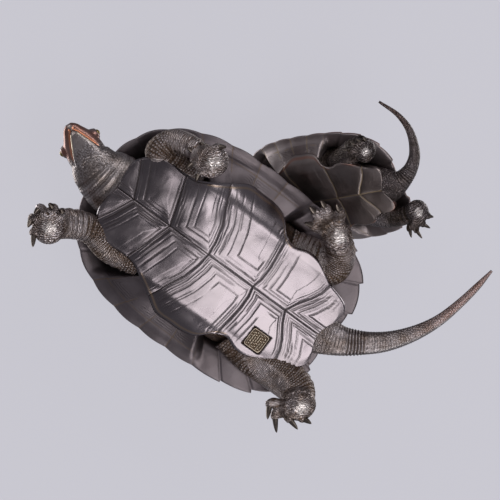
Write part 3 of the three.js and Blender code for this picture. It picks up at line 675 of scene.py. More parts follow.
def belly_piece(name, detail, seed):
    """The belly plate: twelve scutes below, a rounded edge, and a plain inner face."""
    columns = int(38 / detail["belly_step"])
    rows, scutes = belly_rows(detail["belly_step"], columns)
    half = rows[1:-1]
    whole = np.concatenate([half[:, :0:-1] * [1, -1], half], axis=1)
    count, wide = whole.shape[:2]
    plan = whole.reshape(-1, 2)
    reach = np.tile(np.abs(np.arange(wide) - (columns - 1)) / (columns - 1), count)
    lift, furrow = belly_relief(plan, np.repeat(scutes[1:-1], wide), reach, detail, seed)
    if detail["seal"]:
        within = ease((SEAL_SIDE / 2 + 0.25 - np.abs(plan - SEAL_PLACE).max(axis=1)) / 0.4)
        lift, furrow = mix(lift, 1.5, within), furrow * (1 - within)
    bridge = bridge_share(plan[:, 0], plan[:, 1])
    turned = 1.6 * (1 - bridge) * ease((reach - 0.955) / 0.045) ** 2
    z = belly_height(plan[:, 0], plan[:, 1]) + lift * (1 - 0.9 * ease((reach - 0.97) / 0.03)) + turned
    points = np.concatenate([plan, z[:, None]], axis=1)
    tips = [(*BELLY_OUTLINE[0], BELLY + 3.2), (*BELLY_OUTLINE[-1], BELLY + 3.2)]
    index = np.arange(count * wide).reshape(count, wide)
    front, rear = count * wide, count * wide + 1
    triangles = [(front, index[0, j + 1], index[0, j]) for j in range(wide - 1)]
    triangles += [(rear, index[-1, j], index[-1, j + 1]) for j in range(wide - 1)]
    # The rounded edge: the outline again, drawn in and raised step by step.
    outline = [front, *index[:, -1], rear, *index[::-1, 0]]
    border = np.concatenate([points, tips])[outline]
    levels = [(0.998, 1.6), (0.99, 3.0), (0.95, 4.6), (0.88, PLATE_THICKNESS - 1)]
    rings = [border * [share, share, 1] + [0, 0, up] for share, up in levels]
    start, size = len(points) + 2, len(outline)
    links = [outline] + [list(range(start + k * size, start + (k + 1) * size)) for k in range(len(levels))]
    quads = [grid_faces(count, wide, False)]
    for low, high in zip(links[:-1], links[1:]):
        quads.append([(low[j], high[j], high[(j + 1) % size], low[(j + 1) % size]) for j in range(size)])
    middle = start + len(levels) * size
    triangles += [(links[-1][(j + 1) % size], links[-1][j], middle) for j in range(size)]
    everything = np.concatenate([points, tips, *rings, [(0, 0, BELLY + PLATE_THICKNESS)]])
    piece = mesh_object(name, everything, np.concatenate(quads), triangles)
    turn_outwards(piece)

    def paint_underside(label, values):
        paint(piece.data, label, np.concatenate([values, np.zeros(len(everything) - len(points))]))

    paint_underside("furrow", furrow)
    # Painted shade: the belly is painted darker ahead and on its right side.
    ahead = everything[:, 0] - 0.6 * everything[:, 1] + uneven(everything, 12, seed + 3, 14)
    paint(piece.data, "painted_shade_ahead", 0.5 * ease((ahead - 4) / 32))
    # A tan seam is left where the belly plate meets the bridge, and lacquer on the young one's rear edge.
    seam = bell((reach - 0.95) / 0.012) * ease((bridge - 0.4) / 0.3)
    seam *= 0.6 + 0.4 * cloud(points, 5, seed + 4)
    lacquer = (1 - detail["rings"]) * ease((reach - 0.92) / 0.05) * ease((-plan[:, 0] - 42) / 15)
    paint_underside("rim", np.maximum(seam, 0.7 * lacquer * patches(points, 9, seed + 6, 0.5, 0.12)))
    return piece


def turn_outwards(piece):
    """Make the faces of a closed piece point out."""
    mesh = piece.data
    points = coordinates(mesh)
    mesh.calc_loop_triangles()
    corners = np.empty(len(mesh.loop_triangles) * 3, int)
    mesh.loop_triangles.foreach_get("vertices", corners)
    a, b, c = (points[corners.reshape(-1, 3)[:, i]] for i in range(3))
    if np.einsum("ij,ij->i", a, np.cross(b, c)).sum() < 0:
        mesh.flip_normals()


# Limbs, tail, neck and head

def foot(heel, turn, toes, size, height=12, floor=0):
    """A foot: where its heel is, the way it points in degrees, and for each toe where its knuckle and its
    claw's tip are. Then the heel's half length and half width, its height, and the level it stands on."""
    return {"heel": heel, "turn": turn, "toes": toes, "size": size, "height": height, "floor": floor}


FORE_HEEL = (11.6, 12.4)
HIND_HEEL = (12.5, 11.2)
YOUNG_FORE_HEEL = (10.5, 10)
YOUNG_HIND_HEEL = (8.8, 8.2)

# Limbs have stations of (x, y, z, half width, half height), from inside the shell outwards.
MOTHER = {
    "neck": [(52, 0, 34, 20, 12), (70, 0, 33, 21, 13), (83, 0, 32, 19.5, 12.5), (93, 1, 32, 16.5, 11),
             (101, 4, 32.5, 13, 9.5)],
    "head": {"place": (102, 3.8, 33), "turn": 22, "pitch": 4},
    "tail": [(-62, 0, 30, 20, 10), (-80, 0.5, 24.5, 14.5, 9.8), (-95, 4.6, 20.5, 9.6, 8.6),
             (-106, 11, 19, 7.6, 7), (-117.4, 20.2, 17.6, 6.4, 6), (-128.8, 34.6, 16, 4.9, 4.6),
             (-136.8, 51, 14, 3.6, 3.4), (-141.4, 70.6, 12, 2.7, 2.6), (-143.4, 85, 11, 2.1, 2.1),
             (-144.4, 98, 10, 0.8, 0.8)],
    "limbs": {
        "right_foreleg": [(40, -28, 26, 12, 10), (58, -34, 24, 9, 8), (76, -31, 21, 9, 8.5),
                          (88, -35, 15, 9.5, 8), (96, -40, 9, 10, 6)],
        "left_foreleg": [(40, 26, 26, 12, 10), (56, 31, 25, 9, 8), (70, 33, 21, 9, 8), (68, 43, 17, 7.5, 7),
                         (58, 47, 11, 8.5, 7), (48, 47.5, 8, 9, 6)],
        "left_hindleg": [(-36, 28, 30, 17, 11), (-52, 34, 27, 15.5, 11), (-63, 40, 23, 11.5, 10),
                         (-60, 49, 17, 10, 9.5), (-52.5, 55, 11, 9.5, 8)],
        "right_hindleg": [(-38, -28, 29, 18, 11), (-58, -33, 27, 16, 11), (-78, -35, 21.5, 13, 11),
                          (-91, -37, 15, 11.5, 10), (-95.5, -42, 10, 10, 8)],
    },
    "feet": {
        "right_foreleg": foot((97.6, -43.4), -8, [
            ((109.5, -37.4), (110.5, -41.6)), ((103.3, -32.2), (107, -31.4)), ((96.7, -31.4), (99.4, -29.6)),
            ((109.4, -45.4), (108.8, -50.2)), ((103.6, -51), (99.4, -58.2))], FORE_HEEL),
        "left_foreleg": foot((41.8, 47.4), 20, [
            ((51.1, 51.6), (55.6, 52.6)), ((44.4, 56.6), (41.4, 59.6)), ((54.6, 45.6), (60, 45.2)),
            ((51.2, 39.6), (53, 34.8)), ((44.2, 36.8), (43.6, 32.2))], FORE_HEEL),
        "left_hindleg": foot((-48.8, 57), 20, [
            ((-28.8, 60), (-22.4, 61)), ((-31.8, 66.2), (-25.6, 68.2)), ((-32, 53), (-26, 51)),
            ((-40.6, 69.6), (-35, 72))], HIND_HEEL),
        "right_hindleg": foot((-95.8, -42.8), -60, [
            ((-79, -52.7), (-82.4, -60.8)), ((-85.9, -56.5), (-92.3, -64.4)), ((-94.6, -53.2), (-102, -55)),
            ((-102, -48), (-106.9, -47.2))], HIND_HEEL),
    },
}

YOUNG = {
    "neck": [(52, 0, 34, 18, 12), (72, 0, 33, 17, 12.5), (86, 1, 34, 13.5, 11), (95, 3, 35, 11, 9.5)],
    "head": {"place": (98, 4, 35.5), "turn": 14, "pitch": -6},
    "tail": [(-62, 0, 29, 24, 11), (-82, 0, 25, 19.5, 10.5), (-98, 3, 24, 10.6, 9), (-108, 9, 32, 7.2, 6.8),
             (-113.5, 18, 40, 5.7, 5.4), (-115.5, 31, 46, 4.5, 4.3), (-114.5, 46, 50, 3.5, 3.3),
             (-110, 60, 51, 2.6, 2.4), (-97, 82, 48, 1.2, 1.2)],
    "limbs": {
        "right_foreleg": [(40, -28, 27, 11, 10), (52, -36, 24, 9, 8), (62, -40, 17, 8, 7),
                          (68, -42, 7.5, 7, 5)],
        "left_foreleg": [(40, 28, 27, 11, 10), (56, 36, 24, 9, 8), (68, 44, 17, 8, 7), (74, 49, 8.5, 7, 5)],
        "left_hindleg": [(-36, 28, 28, 17, 11), (-54, 41, 24.5, 13, 10), (-68, 51, 20, 10.5, 9),
                         (-80, 55, 18, 9, 8)],
        "right_hindleg": [(-40, -28, 28, 17, 11), (-64, -34, 23.5, 14, 10), (-86, -35, 18, 10, 9),
                          (-104, -31, 16, 9, 8)],
    },
    "feet": {
        "right_foreleg": foot((70, -42), -25, [
            ((78, -53), (80, -58)), ((81.5, -48.5), (86, -51.5)), ((82, -42), (87.5, -43)),
            ((78.5, -36), (84, -34))], YOUNG_FORE_HEEL, 9, -3.3),
        "left_foreleg": foot((76, 50), 35, [
            ((82.5, 60.5), (84, 66)), ((87, 56.5), (91.5, 60)), ((88.5, 50.5), (94, 51.5)),
            ((84, 43.5), (89.5, 41.5))], YOUNG_FORE_HEEL, 9, -1.6),
    },
}


# The young turtle's hind feet stand beside the large one, so their places are the large turtle's.
YOUNG_HIND_FEET = {
    "left_hindleg": foot((-30.1, 109.2), 55, [
        ((-22.6, 108.4), (-18.3, 107.8)), ((-24.3, 111.9), (-20.5, 111.5)), ((-27.1, 114.4), (-23.3, 114.6)),
        ((-20.7, 102.7), (-16.8, 101))], YOUNG_HIND_HEEL, 8.6, 0.6),
    "right_hindleg": foot((-80.5, 99.2), 205, [
        ((-82.9, 87.3), (-86.3, 83.7)), ((-86.7, 89.3), (-92.1, 87.3)), ((-88.4, 94.8), (-92.2, 95.4)),
        ((-88, 101.1), (-89.6, 102.1))], YOUNG_HIND_HEEL, 8.6, 0.6),
}


# A heel from its sole up: the share of its full breadth at a share of its height.
HEEL_PROFILE = [(0.16, 0), (0.34, 0.03), (0.52, 0.1), (0.68, 0.22), (0.79, 0.37), (0.85, 0.56), (0.8, 0.78),
                (0.6, 0.94), (0.35, 1)]


def foot_skins(spec, size=1.0):
    """A paw's rounded heel and its toes, as closed skins that are fused later."""
    long, wide = spec["size"]
    turn, floor = math.radians(spec["turn"]), spec["floor"]
    ahead = np.array([math.cos(turn), math.sin(turn)])
    aside = np.array([-ahead[1], ahead[0]])
    turns = 2 * np.pi * np.arange(32) / 32
    oval = np.outer(long * np.cos(turns), ahead) + np.outer(wide * np.sin(turns), aside)
    heel = []
    for share, level in HEEL_PROFILE:
        height = np.full((len(turns), 1), floor + spec["height"] * level)
        heel.append(np.concatenate([oval * share + spec["heel"], height], axis=1))
    skins = [loft(heel)]
    for knuckle, tip in spec["toes"]:
        start, knuckle, tip = np.array(spec["heel"]), np.array(knuckle), np.array(tip)
        rows = [(mix(start, knuckle, 0.15), 6.2, 4.2), (mix(start, knuckle, 0.62), 6.2, 3.8),
                (knuckle, 4.9, 3.1), (mix(knuckle, tip, 0.22), 4.2, 2.5)]
        stations = [(*place, floor + up * size, r * size, r * size) for place, up, r in rows]
        skins.append(loft(tube(stations, 18, 20)))
    return skins


def claw_paths(spec, size=1.0):
    """Each claw's middle line and half thickness, from inside the toe to its point on the ground."""
    paths = []
    for knuckle, tip in spec["toes"]:
        start, knuckle, tip = np.array(spec["heel"]), np.array(knuckle), np.array(tip)
        inside = mix(start, knuckle, 0.8)
        rows = [(inside, 5.2, 1.7), (mix(inside, knuckle, 0.9), 5.2, 2.0),
                (mix(knuckle, tip, 0.35), 4.3, 1.8), (mix(knuckle, tip, 0.7), 2.8, 1.3),
                (mix(knuckle, tip, 0.92), 1.4, 0.7), (tip, 0.4, 0.12)]
        table = np.array([(*place, spec["floor"] + up * size, thick * size) for place, up, thick in rows])
        fine = np.linspace(0, len(rows) - 1, 16)
        paths.append(stacked(*[smooth_through(list(enumerate(column)), fine) for column in table.T]))
    return paths


# How wide a leg's scales are on the large turtle, and how far apart its folds are, in millimetres.
MOTHER_SCALES = 1.6
FOLD_STEP = 4.0


def beads(at, turn, around, pitch):
    """Rows of small round scales across a limb, each row half a scale out of step with the one before."""
    row = at / pitch
    number = np.floor(row)
    column = turn / (2 * np.pi) * np.round(2 * np.pi * around / (1.2 * pitch)) + 0.5 * (number % 2)
    return np.sin(np.pi * (row - number)) ** 0.6 * (0.5 + 0.5 * np.abs(np.sin(np.pi * column)))


def skin_relief(piece, stations, feet, scale, seed):
    """Beaded rows, folds and the paw's small scales on a fused limb. Gives how deep each place lies."""
    mesh = piece.data
    points, out = coordinates(mesh), normals(mesh)
    at, turn, around = round_spine(points, stations)
    sway = uneven(points, 9, seed)
    away = np.linalg.norm(points - feet, axis=1)
    near_foot = 1 - ease((away - 6.3 * scale) / (3 * scale))
    unit = scale / MOTHER_SCALES
    rows = beads(at + 3 * sway, turn, around, scale)
    pebble = pebbles(warped(points, 7, seed, 1.2), scale * 0.9, seed)
    reach = 0.82 if "hind" in piece.name else 0.45
    beaded = (1 - ease((at / at.max() - reach) / 0.18)) * (1 - near_foot)
    beaded *= 0.35 + 0.65 * patches(points, 13, seed + 5, 0.3, 0.2)
    bump = mix(mix(0.6, rows, beaded), pebble, 0.5 * near_foot)
    wave = np.sin(2 * np.pi * (at + 4 * sway) / (FOLD_STEP * unit))
    folds = patches(points, 16, seed + 9, 0.42, 0.2) * (1 - near_foot)
    lift = 0.45 * unit * (bump - 0.6) + 0.38 * unit * folds * wave
    move_to(mesh, points + out * lift[:, None])
    # Fine creases run round the limb and in arcs over the heel. The finish draws them from this distance.
    beside = np.linalg.norm(points - feet - np.array([6.0, 7.0, 5.0]) * unit, axis=1)
    wobble = 3.0 * cloud(points, 4.5, seed + 3)
    # On the young turtle they'd be too fine to show, and are drawn nearly twice as wide as they should be.
    coarse = 1.8 if unit > 1.1 else 1.0
    paint(mesh, "crease", mix(at + 2 * sway, beside * 1.1 + wobble + 30, near_foot) / coarse)
    paint(mesh, "creased", 1 - 0.75 * beaded)
    in_folds = 0.5 * folds * ease(-wave)
    return np.clip(1.6 * beaded * (1 - rows) + in_folds + 0.6 * near_foot * (1 - pebble), 0, 1)


def leg_piece(name, stations, spec, detail, seed):
    """A leg and its foot, fused and scaled."""
    piece = fused(name, [loft(tube(stations, 40, 36)), *foot_skins(spec)], detail["grain"], 9)
    recess = skin_relief(piece, stations, [*spec["heel"], spec["floor"] + 3], MOTHER_SCALES, seed)
    settle(piece, spec, recess)
    return piece


def settle(piece, spec, recess, size=1.0):
    """Flatten a foot on the ground it stands on, and mark where its sole is worn bright, with a painted
    highlight there.
    """
    points = coordinates(piece.data)
    points[:, 2] = np.maximum(points[:, 2], spec["floor"])
    move_to(piece.data, points)
    sole = np.array([*spec["heel"], spec["floor"]])
    away = np.linalg.norm((points - sole) * [1, 1, 1.4], axis=1) / size
    ragged = away + uneven(points, 1.7, 3, 4.5)
    paint(piece.data, "recess", recess)
    # The sole's middle is worn bright and also carries a painted highlight.
    paint(piece.data, "wear_and_highlight", 1 - ease((ragged - 2.4) / 3.2))


def claw_tree():
    """Geometry nodes that draw a round claw along each line, as thick as the line says."""
    tree = bpy.data.node_groups.new("claws", "GeometryNodeTree")
    tree.interface.new_socket("Middle lines", in_out="INPUT", socket_type="NodeSocketGeometry")
    for label, kind in (("Sides", "Int"), ("Thickness", "Float"), ("Horn", "Material")):
        tree.interface.new_socket(label, in_out="INPUT", socket_type=f"NodeSocket{kind}")
    tree.interface.new_socket("Claws", in_out="OUTPUT", socket_type="NodeSocketGeometry")
    given = add(tree, "NodeGroupInput")
    line = add(tree, "GeometryNodeMeshToCurve", {"Mesh": given.outputs["Middle lines"]})
    thick = add(tree, "GeometryNodeInputNamedAttribute", {"Name": "half_thickness"}, data_type="FLOAT")
    scaled = add(tree, "ShaderNodeMath", {0: thick.outputs["Attribute"], 1: given.outputs["Thickness"]},
                 operation="MULTIPLY")
    ring = add(tree, "GeometryNodeCurvePrimitiveCircle",
               {"Resolution": given.outputs["Sides"], "Radius": 1.0})
    claw = add(tree, "GeometryNodeCurveToMesh",
               {"Curve": line.outputs["Curve"], "Profile Curve": ring.outputs["Curve"],
                "Scale": scaled.outputs["Value"], "Fill Caps": True})
    smooth = add(tree, "GeometryNodeSetShadeSmooth",
                 {"Geometry": claw.outputs["Mesh"], "Shade Smooth": True})
    real = add(tree, "GeometryNodeRealizeInstances", {"Geometry": smooth.outputs["Geometry"]})
    dressed = add(tree, "GeometryNodeSetMaterial", {"Geometry": real.outputs["Geometry"],
                                                    "Material": given.outputs["Horn"]})
    add(tree, "NodeGroupOutput", {"Claws": dressed.outputs["Geometry"]})
    return tree


def claw_piece(name, spec, tree, horn, size=1.0):
    """The claws of one foot."""
    paths = claw_paths(spec, size)
    points = np.concatenate(paths)
    count = len(paths[0])
    mesh = bpy.data.meshes.new(name)
    edges = [(k * count + i, k * count + i + 1) for k in range(len(paths)) for i in range(count - 1)]
    mesh.from_pydata(points[:, :3].tolist(), edges, [])
    paint(mesh, "half_thickness", points[:, 3])
    piece = linked(name, mesh)
    draw = piece.modifiers.new("claws", "NODES")
    draw.node_group = tree
    values = {"Sides": 12, "Thickness": 1.0, "Horn": horn}
    for socket in tree.interface.items_tree:
        if socket.name in values:
            draw[socket.identifier] = values[socket.name]
    return applied(piece)


SKULL = [
    (-13, 9.5, 7.5, -8), (-7, 11.6, 9.6, -9), (0, 12.2, 10.6, -7.5), (7, 11.6, 10.4, -5.6),
    (13, 9.6, 8.8, -4.8), (18, 6.6, 6.2, -4.6), (22, 3.9, 3.6, -4.6), (23.4, 2, 1.4, -3.6),
]
LOWER_JAW = [
    (-8, 9, -4, -9.6), (0, 9.4, -3.6, -10), (7, 7.2, -3.4, -9), (13, 4.6, -3.4, -7.8),
    (17.6, 2.2, -3.4, -6.6), (19, 0.8, -3.8, -5.6),
]
JAW_LINE = -3.9
# The lids' bulges: where their middles are, and their radius. The eyeballs sit in their outer sides.
EYE_AHEAD = 9.4
EYE_ASIDE = 9.1
EYE_UP = 3.4
EYE_SIZE = 4.5
EYEBALL = 2.35
TAIL_SIDES = 72


def head_frame(spec):
    """Where the head is: it faces +X in its own frame."""
    return (Matrix.Translation(spec["place"]) @ Matrix.Rotation(math.radians(spec["turn"]), 4, "Z")
            @ Matrix.Rotation(math.radians(-spec["pitch"]), 4, "Y"))


def moved(points, matrix):
    """Points carried by a matrix."""
    points = np.asarray(points, float)
    array = np.array(matrix)
    return points @ array[:3, :3].T + array[:3, 3]


def head_loft(sections, sides, matrix):
    """A closed skin over the head's sections: (place ahead, half width, top, bottom)."""
    table = np.array(sections, float)
    ahead = np.linspace(table[0, 0], table[-1, 0], 30)
    half, top, bottom = (smooth_through(table[:, [0, i]], ahead) for i in (1, 2, 3))
    angle = 2 * np.pi * (np.arange(sides) + 0.5) / sides
    c, s = power(np.cos(angle), 0.85), power(np.sin(angle), 0.85)
    rings = [stacked(np.full(sides, a), h * c, mix(low, high, (s + 1) / 2))
             for a, h, high, low in zip(ahead, half, top, bottom)]
    points, quads, ends = loft(rings)
    return moved(points, matrix), quads, ends


def ball(centre, radius, matrix, rings=16, sides=24):
    """A closed round skin in the head's frame."""
    turns = 2 * np.pi * np.arange(sides) / sides
    level = np.linspace(-0.985, 0.985, rings)[:, None] * np.ones(sides)
    out = np.sqrt(1 - level ** 2)
    points, quads, ends = loft(centre + radius * stacked(out * np.cos(turns), out * np.sin(turns), level))
    return moved(points, matrix), quads, ends


def head_piece(name, pose, detail, seed):
    """Neck and head, with the jaws' line, nostrils and lids, fused and scaled."""
    matrix = head_frame(pose["head"])
    skins = [loft(tube(pose["neck"], 36, 40)), head_loft(SKULL, 40, matrix)]
    skins.append(head_loft(LOWER_JAW, 36, matrix))
    skins += [ball((EYE_AHEAD, side * EYE_ASIDE, EYE_UP), EYE_SIZE, matrix) for side in (-1, 1)]
    piece = fused(name, skins, detail["grain"] * 0.85, 5)
    mesh = piece.data
    points, out = coordinates(mesh), normals(mesh)
    local = moved(points, matrix.inverted())
    ahead, aside, up = local.T
    jaw = np.array(LOWER_JAW)
    off_jaw = np.abs(aside) - np.interp(ahead, jaw[:, 0], jaw[:, 1])
    on_face = ease((ahead - 1) / 4)
    ledge = ease((JAW_LINE + 1.6 - up) / 1.2)
    mouth = on_face * bell((off_jaw - 0.5) / 0.5) * ledge * (up > -7) * (ahead < 20.5)
    pebble = pebbles(warped(points, 6, seed, 0.8), 1.35, seed)
    behind = 1 - ease((ahead - 4) / 8)
    at, turn, around = round_spine(points, pose["neck"])
    sway = uneven(points, 12, seed + 8)
    wave = np.sin(2 * np.pi * (at + 3 * sway) / 5.2)
    loose = ease((-7 - ahead) / 8) * (0.4 + 0.6 * patches(points, 14, seed + 6, 0.35, 0.3))
    bump = mix(pebble, beads(at + 2 * sway, turn, around, 1.5), ease((-9 - ahead) / 5))
    lift = 0.17 * (bump - 0.6) * (0.12 + 0.88 * behind) + 0.3 * loose * wave - 0.45 * mouth
    for side in (-1, 1):
        nostril = np.linalg.norm(local - [22.4, side * 1.5, 1.6], axis=1)
        lids = np.linalg.norm(local - [EYE_AHEAD + 0.3, side * (EYE_ASIDE + EYE_SIZE), EYE_UP], axis=1)
        lift += 0.25 * bell((lids - 3.1) / 0.9) - 0.5 * bell(lids / 2) - 0.7 * bell(nostril / 0.8)
    move_to(mesh, points + out * lift[:, None])
    paint(mesh, "recess", np.clip(0.8 * (1 - bump) * behind + 0.4 * loose * (wave < -0.3), 0, 1))
    # A light tone in the wear and painted highlight channel, stronger below the jaw line.
    rubbed_and_lit = 1 - 0.5 * ease((up - JAW_LINE) / 3)
    paint(mesh, "wear_and_highlight", 0.12 * rubbed_and_lit * (0.6 + 0.4 * cloud(points, 8, seed + 7)))
    paint(mesh, "crease", at + 2 * sway)
    paint(mesh, "creased", 0.35 * ease((-10 - ahead) / 6))
    # The jaws are red-brown up to a line that rises at the tip. Their edge is orange, round a pale lip.
    above = np.maximum(ease((up - JAW_LINE) / 0.6), ease((off_jaw - 0.2) / 0.6))
    band = mix(1 - ease((up + 0.5) / 3.5), 1 - ease((up - 5.5) / 3), ease((ahead - 15) / 4))
    paint(mesh, "beak", ease((ahead - 2) / 5) * above * band * (0.55 + 0.45 * cloud(points, 3.5, seed + 9)))
    paint(mesh, "mouth", mouth)
    paint(mesh, "plain", mix(0.85, 0.95, ease((ahead + 4) / 8)))
    inside = bell((off_jaw + 0.6) / 0.5) * (up < JAW_LINE)
    paint(mesh, "lip", on_face * inside * ease((ahead - 3) / 6) * (ahead < 17))
    return piece


def eye_piece(name, pose):
    """Both eyeballs, each with a dark pupil."""
    matrix = head_frame(pose["head"])
    place = np.array([EYE_AHEAD + 0.2, EYE_ASIDE + EYE_SIZE - 1.7, EYE_UP + 0.1])
    piece = joined_object(name, [ball(place * [1, side, 1], EYEBALL, matrix, 20, 28) for side in (-1, 1)])
    local = moved(coordinates(piece.data), matrix.inverted())
    pupil = np.hypot(*(local - place)[:, [0, 2]].T)
    paint(piece.data, "pupil", 1 - ease((pupil - 0.9) / 0.3))
    return piece


def tail_piece(name, pose, detail):
    """The tail with its rings of scales, which shorten towards the tip."""
    values, *_, at = spine(pose["tail"], 400)
    width = np.maximum(np.minimum(values[:, 3], values[:, 4]), 0.8)
    pitch = 1.15 + 0.1 * width
    last_part = slice(len(width) // 3, None)
    thin_from = np.interp(-3.4, -width[last_part], at[last_part])
    ring_number = np.concatenate([[0], np.cumsum(np.diff(at) / pitch[1:])])
    furrow = {}

    def scales(t, turn):
        number = np.interp(t, at, ring_number)
        size = np.interp(t, at, width)
        row = math.floor(number)
        around = 8 if t > thin_from else 14
        place = (turn / (2 * np.pi) * around + 0.5 * (row % 2)) % 1
        thick = float(ease((size - 4.5) / 3))
        joint = ease((np.abs(place - 0.5) * 2 - 0.68) / 0.32) * (1 - 0.65 * thick)
        ring = ease((abs(number - row - 0.5) * 2 - 0.55) / 0.45) * (0.75 - 0.25 * thick)
        between = np.maximum(joint, ring)
        # Long low ridges run down the tail, and a bunch of deep folds rings it past its thick root.
        ridge = np.cos(7 * turn) * (1 - thick)
        bunch = bell((t - 45) / 7) * math.sin(2 * math.pi * t / 2.1)
        furrow[round(float(t), 4)] = np.clip(between + 0.6 * (bunch < -0.25), 0, 1)
        fade = 0.35 + 0.65 * ease((t - 8) / 25)
        return fade * size * (0.04 * (1 - between) - 0.03 * between + 0.025 * ridge) + 0.3 * bunch

    points, quads, ends = loft(tube(pose["tail"], detail["tail_rings"], TAIL_SIDES, scales))
    piece = mesh_object(name, points, quads, ends)
    mesh = piece.data
    paint(mesh, "recess", np.concatenate([*furrow.values(), [0, 0]]))
    # Painted highlight: past the root, the side facing one set direction, towards the low lights on the
    # large turtle, is painted light.
    facing = normals(mesh) @ np.array([-0.75, -0.6, -0.28])
    along = np.concatenate([np.repeat(list(furrow), TAIL_SIDES), [0, 0]])
    paint(mesh, "wear_and_highlight", 0.6 * detail["rings"] * bell((facing - 0.82) / 0.12) * ease((along - 45) / 20))
    paint(mesh, "plain", mix(0.15, 0.85, detail["rings"] * ease((along - 26) / 8)))
    paint(mesh, "beak", 0.3 * ease((along - 75) / 40))
    return piece


def core_piece(name, seed):
    """The body inside the shell, seen only through the leg pockets."""
    turn = np.arange(120) / 120
    x, y, _ = rim_place(turn, np.ones_like(turn))
    levels = [(0.5, 18.5), (0.58, 21), (0.64, 26), (0.68, 32), (0.7, 40), (0.66, 50), (0.6, 56)]
    piece = joined_object(name, [loft([stacked(x * s, y * s, np.full_like(x, z)) for s, z in levels])])
    points = coordinates(piece.data)
    paint(piece.data, "recess", 0.4 + 0.6 * cloud(points, 3, seed))
    paint(piece.data, "wear_and_highlight", np.zeros(len(points)))
    turn_outwards(piece)
    return piece


# Seal

def seal_piece(name):
    """The seal: a low square cushion with a border and rows of short strokes that spell nothing."""
    count = 90
    line = np.linspace(-1, 1, count)
    a, b = np.meshgrid(line, line, indexing="ij")
    square = np.maximum(np.abs(a), np.abs(b))
    rounded = (np.abs(a) ** SEAL_SQUARENESS + np.abs(b) ** SEAL_SQUARENESS) ** (1 / SEAL_SQUARENESS)
    border = ease(1 - np.abs(square - 0.88) / 0.09)
    # Each cell has one stroke, lying or standing. Rows are set over from each other.
    over_rows = (a + 1) * 4.3
    row = np.floor(over_rows)
    over_columns = (b + 1) * 3.3 + 0.37 * row
    lying = scattered(stacked(row, np.floor(over_columns), np.full_like(row, 4)), 11) > 0.45
    off_row, off_column = np.abs(over_rows % 1 - 0.5), np.abs(over_columns % 1 - 0.5)
    bar = ease(1.25 - off_row / 0.3) * (off_column < 0.45)
    post = ease(1.25 - off_column / 0.2) * (off_row < 0.47)
    relief = np.maximum(border, np.where(lying, bar, post) * (square < 0.76))
    squeeze = SEAL_SIDE / 2 * np.where(square > 0, square / np.maximum(rounded, 1e-6), 1)
    x = SEAL_PLACE[0] + a * squeeze
    y = SEAL_PLACE[1] + b * squeeze
    z = belly_height(x, y) + 1.2 * (1 - ease((1 - rounded) / 0.05)) + 0.1 - 0.6 * relief
    points = stacked(x, y, z).reshape(-1, 3)
    index = np.arange(count * count).reshape(count, count)
    rim = [*index[:, 0], *index[-1, 1:], *index[-2::-1, -1], *index[0, -2:0:-1]]
    top = points[rim] + [0, 0, 2.2]
    start, size = len(points), len(rim)
    walls = [(rim[j], rim[(j + 1) % size], start + (j + 1) % size, start + j) for j in range(size)]
    lid = [(start + j, start + (j + 1) % size, start + size) for j in range(size)]
    everything = np.concatenate([points, top, [(*SEAL_PLACE, float(top[:, 2].mean()))]])
    quads = np.concatenate([grid_faces(count, count, False), walls])
    piece = mesh_object(name, everything, quads, lid)
    turn_outwards(piece)
    paint(piece.data, "stroke", np.concatenate([relief.ravel(), np.zeros(size + 1)]))
    return piece


# Finishes

def linear(code):
    """An sRGB hex colour as linear red, green, blue and alpha."""
    parts = [int(code[i:i + 2], 16) / 255 for i in (1, 3, 5)]
    return (*[p / 12.92 if p <= 0.04045 else ((p + 0.055) / 1.055) ** 2.4 for p in parts], 1.0)


def add(tree, kind, inputs=None, **settings):
    """Add a node, set its settings, and set or link its inputs."""
    item = tree.nodes.new(kind)
    for key, value in settings.items():
        setattr(item, key, value)
    for key, value in (inputs or {}).items():
        if isinstance(value, bpy.types.NodeSocket):
            tree.links.new(value, item.inputs[key])
        else:
            item.inputs[key].default_value = value
    return item


def blend(tree, share, low, high):
    """Mix two colours by a share."""
    return add(tree, "ShaderNodeMix", {0: share, 6: low, 7: high}, data_type="RGBA").outputs[2]


def between(tree, share, low, high):
    """Mix two numbers by a share."""
    return add(tree, "ShaderNodeMix", {0: share, 2: low, 3: high}, data_type="FLOAT").outputs[0]


def fresh(name):
    """A new material and its empty tree."""
    material = bpy.data.materials.new(name)
    material.use_nodes = True
    material.node_tree.nodes.clear()
    return material, material.node_tree


def closed_off(tree, shader):
    add(tree, "ShaderNodeOutputMaterial", {"Surface": shader})


def spread(tree, value, low, high, to_low=0.0, to_high=1.0):
    """Stretch a value's range to another one."""
    item = add(tree, "ShaderNodeMapRange", {"Value": value, "From Min": low, "From Max": high,
                                            "To Min": to_low, "To Max": to_high})
    return item.outputs["Result"]


def painted(tree, name):
    """What a piece's vertices were painted with."""
    return add(tree, "ShaderNodeAttribute", attribute_name=name).outputs["Fac"]


def object_place(tree):
    return add(tree, "ShaderNodeTexCoord").outputs["Object"]


def noise(tree, place, scale, detail):
    """Soft noise with this many blobs to a metre."""
    item = add(tree, "ShaderNodeTexNoise", {"Vector": place, "Scale": scale, "Detail": detail})
    return item.outputs["Fac"]


def maths(tree, operation, *values):
    return add(tree, "ShaderNodeMath", dict(enumerate(values)), operation=operation).outputs[0]


def waves(tree, distance, step, stray, sway):
    """A wave across lines that lie a step apart in millimetres and sway with some stray noise."""
    along = maths(tree, "ADD", distance, spread(tree, stray, 0, 1, -sway, sway))
    return maths(tree, "SINE", maths(tree, "MULTIPLY", along, 2 * math.pi / step))


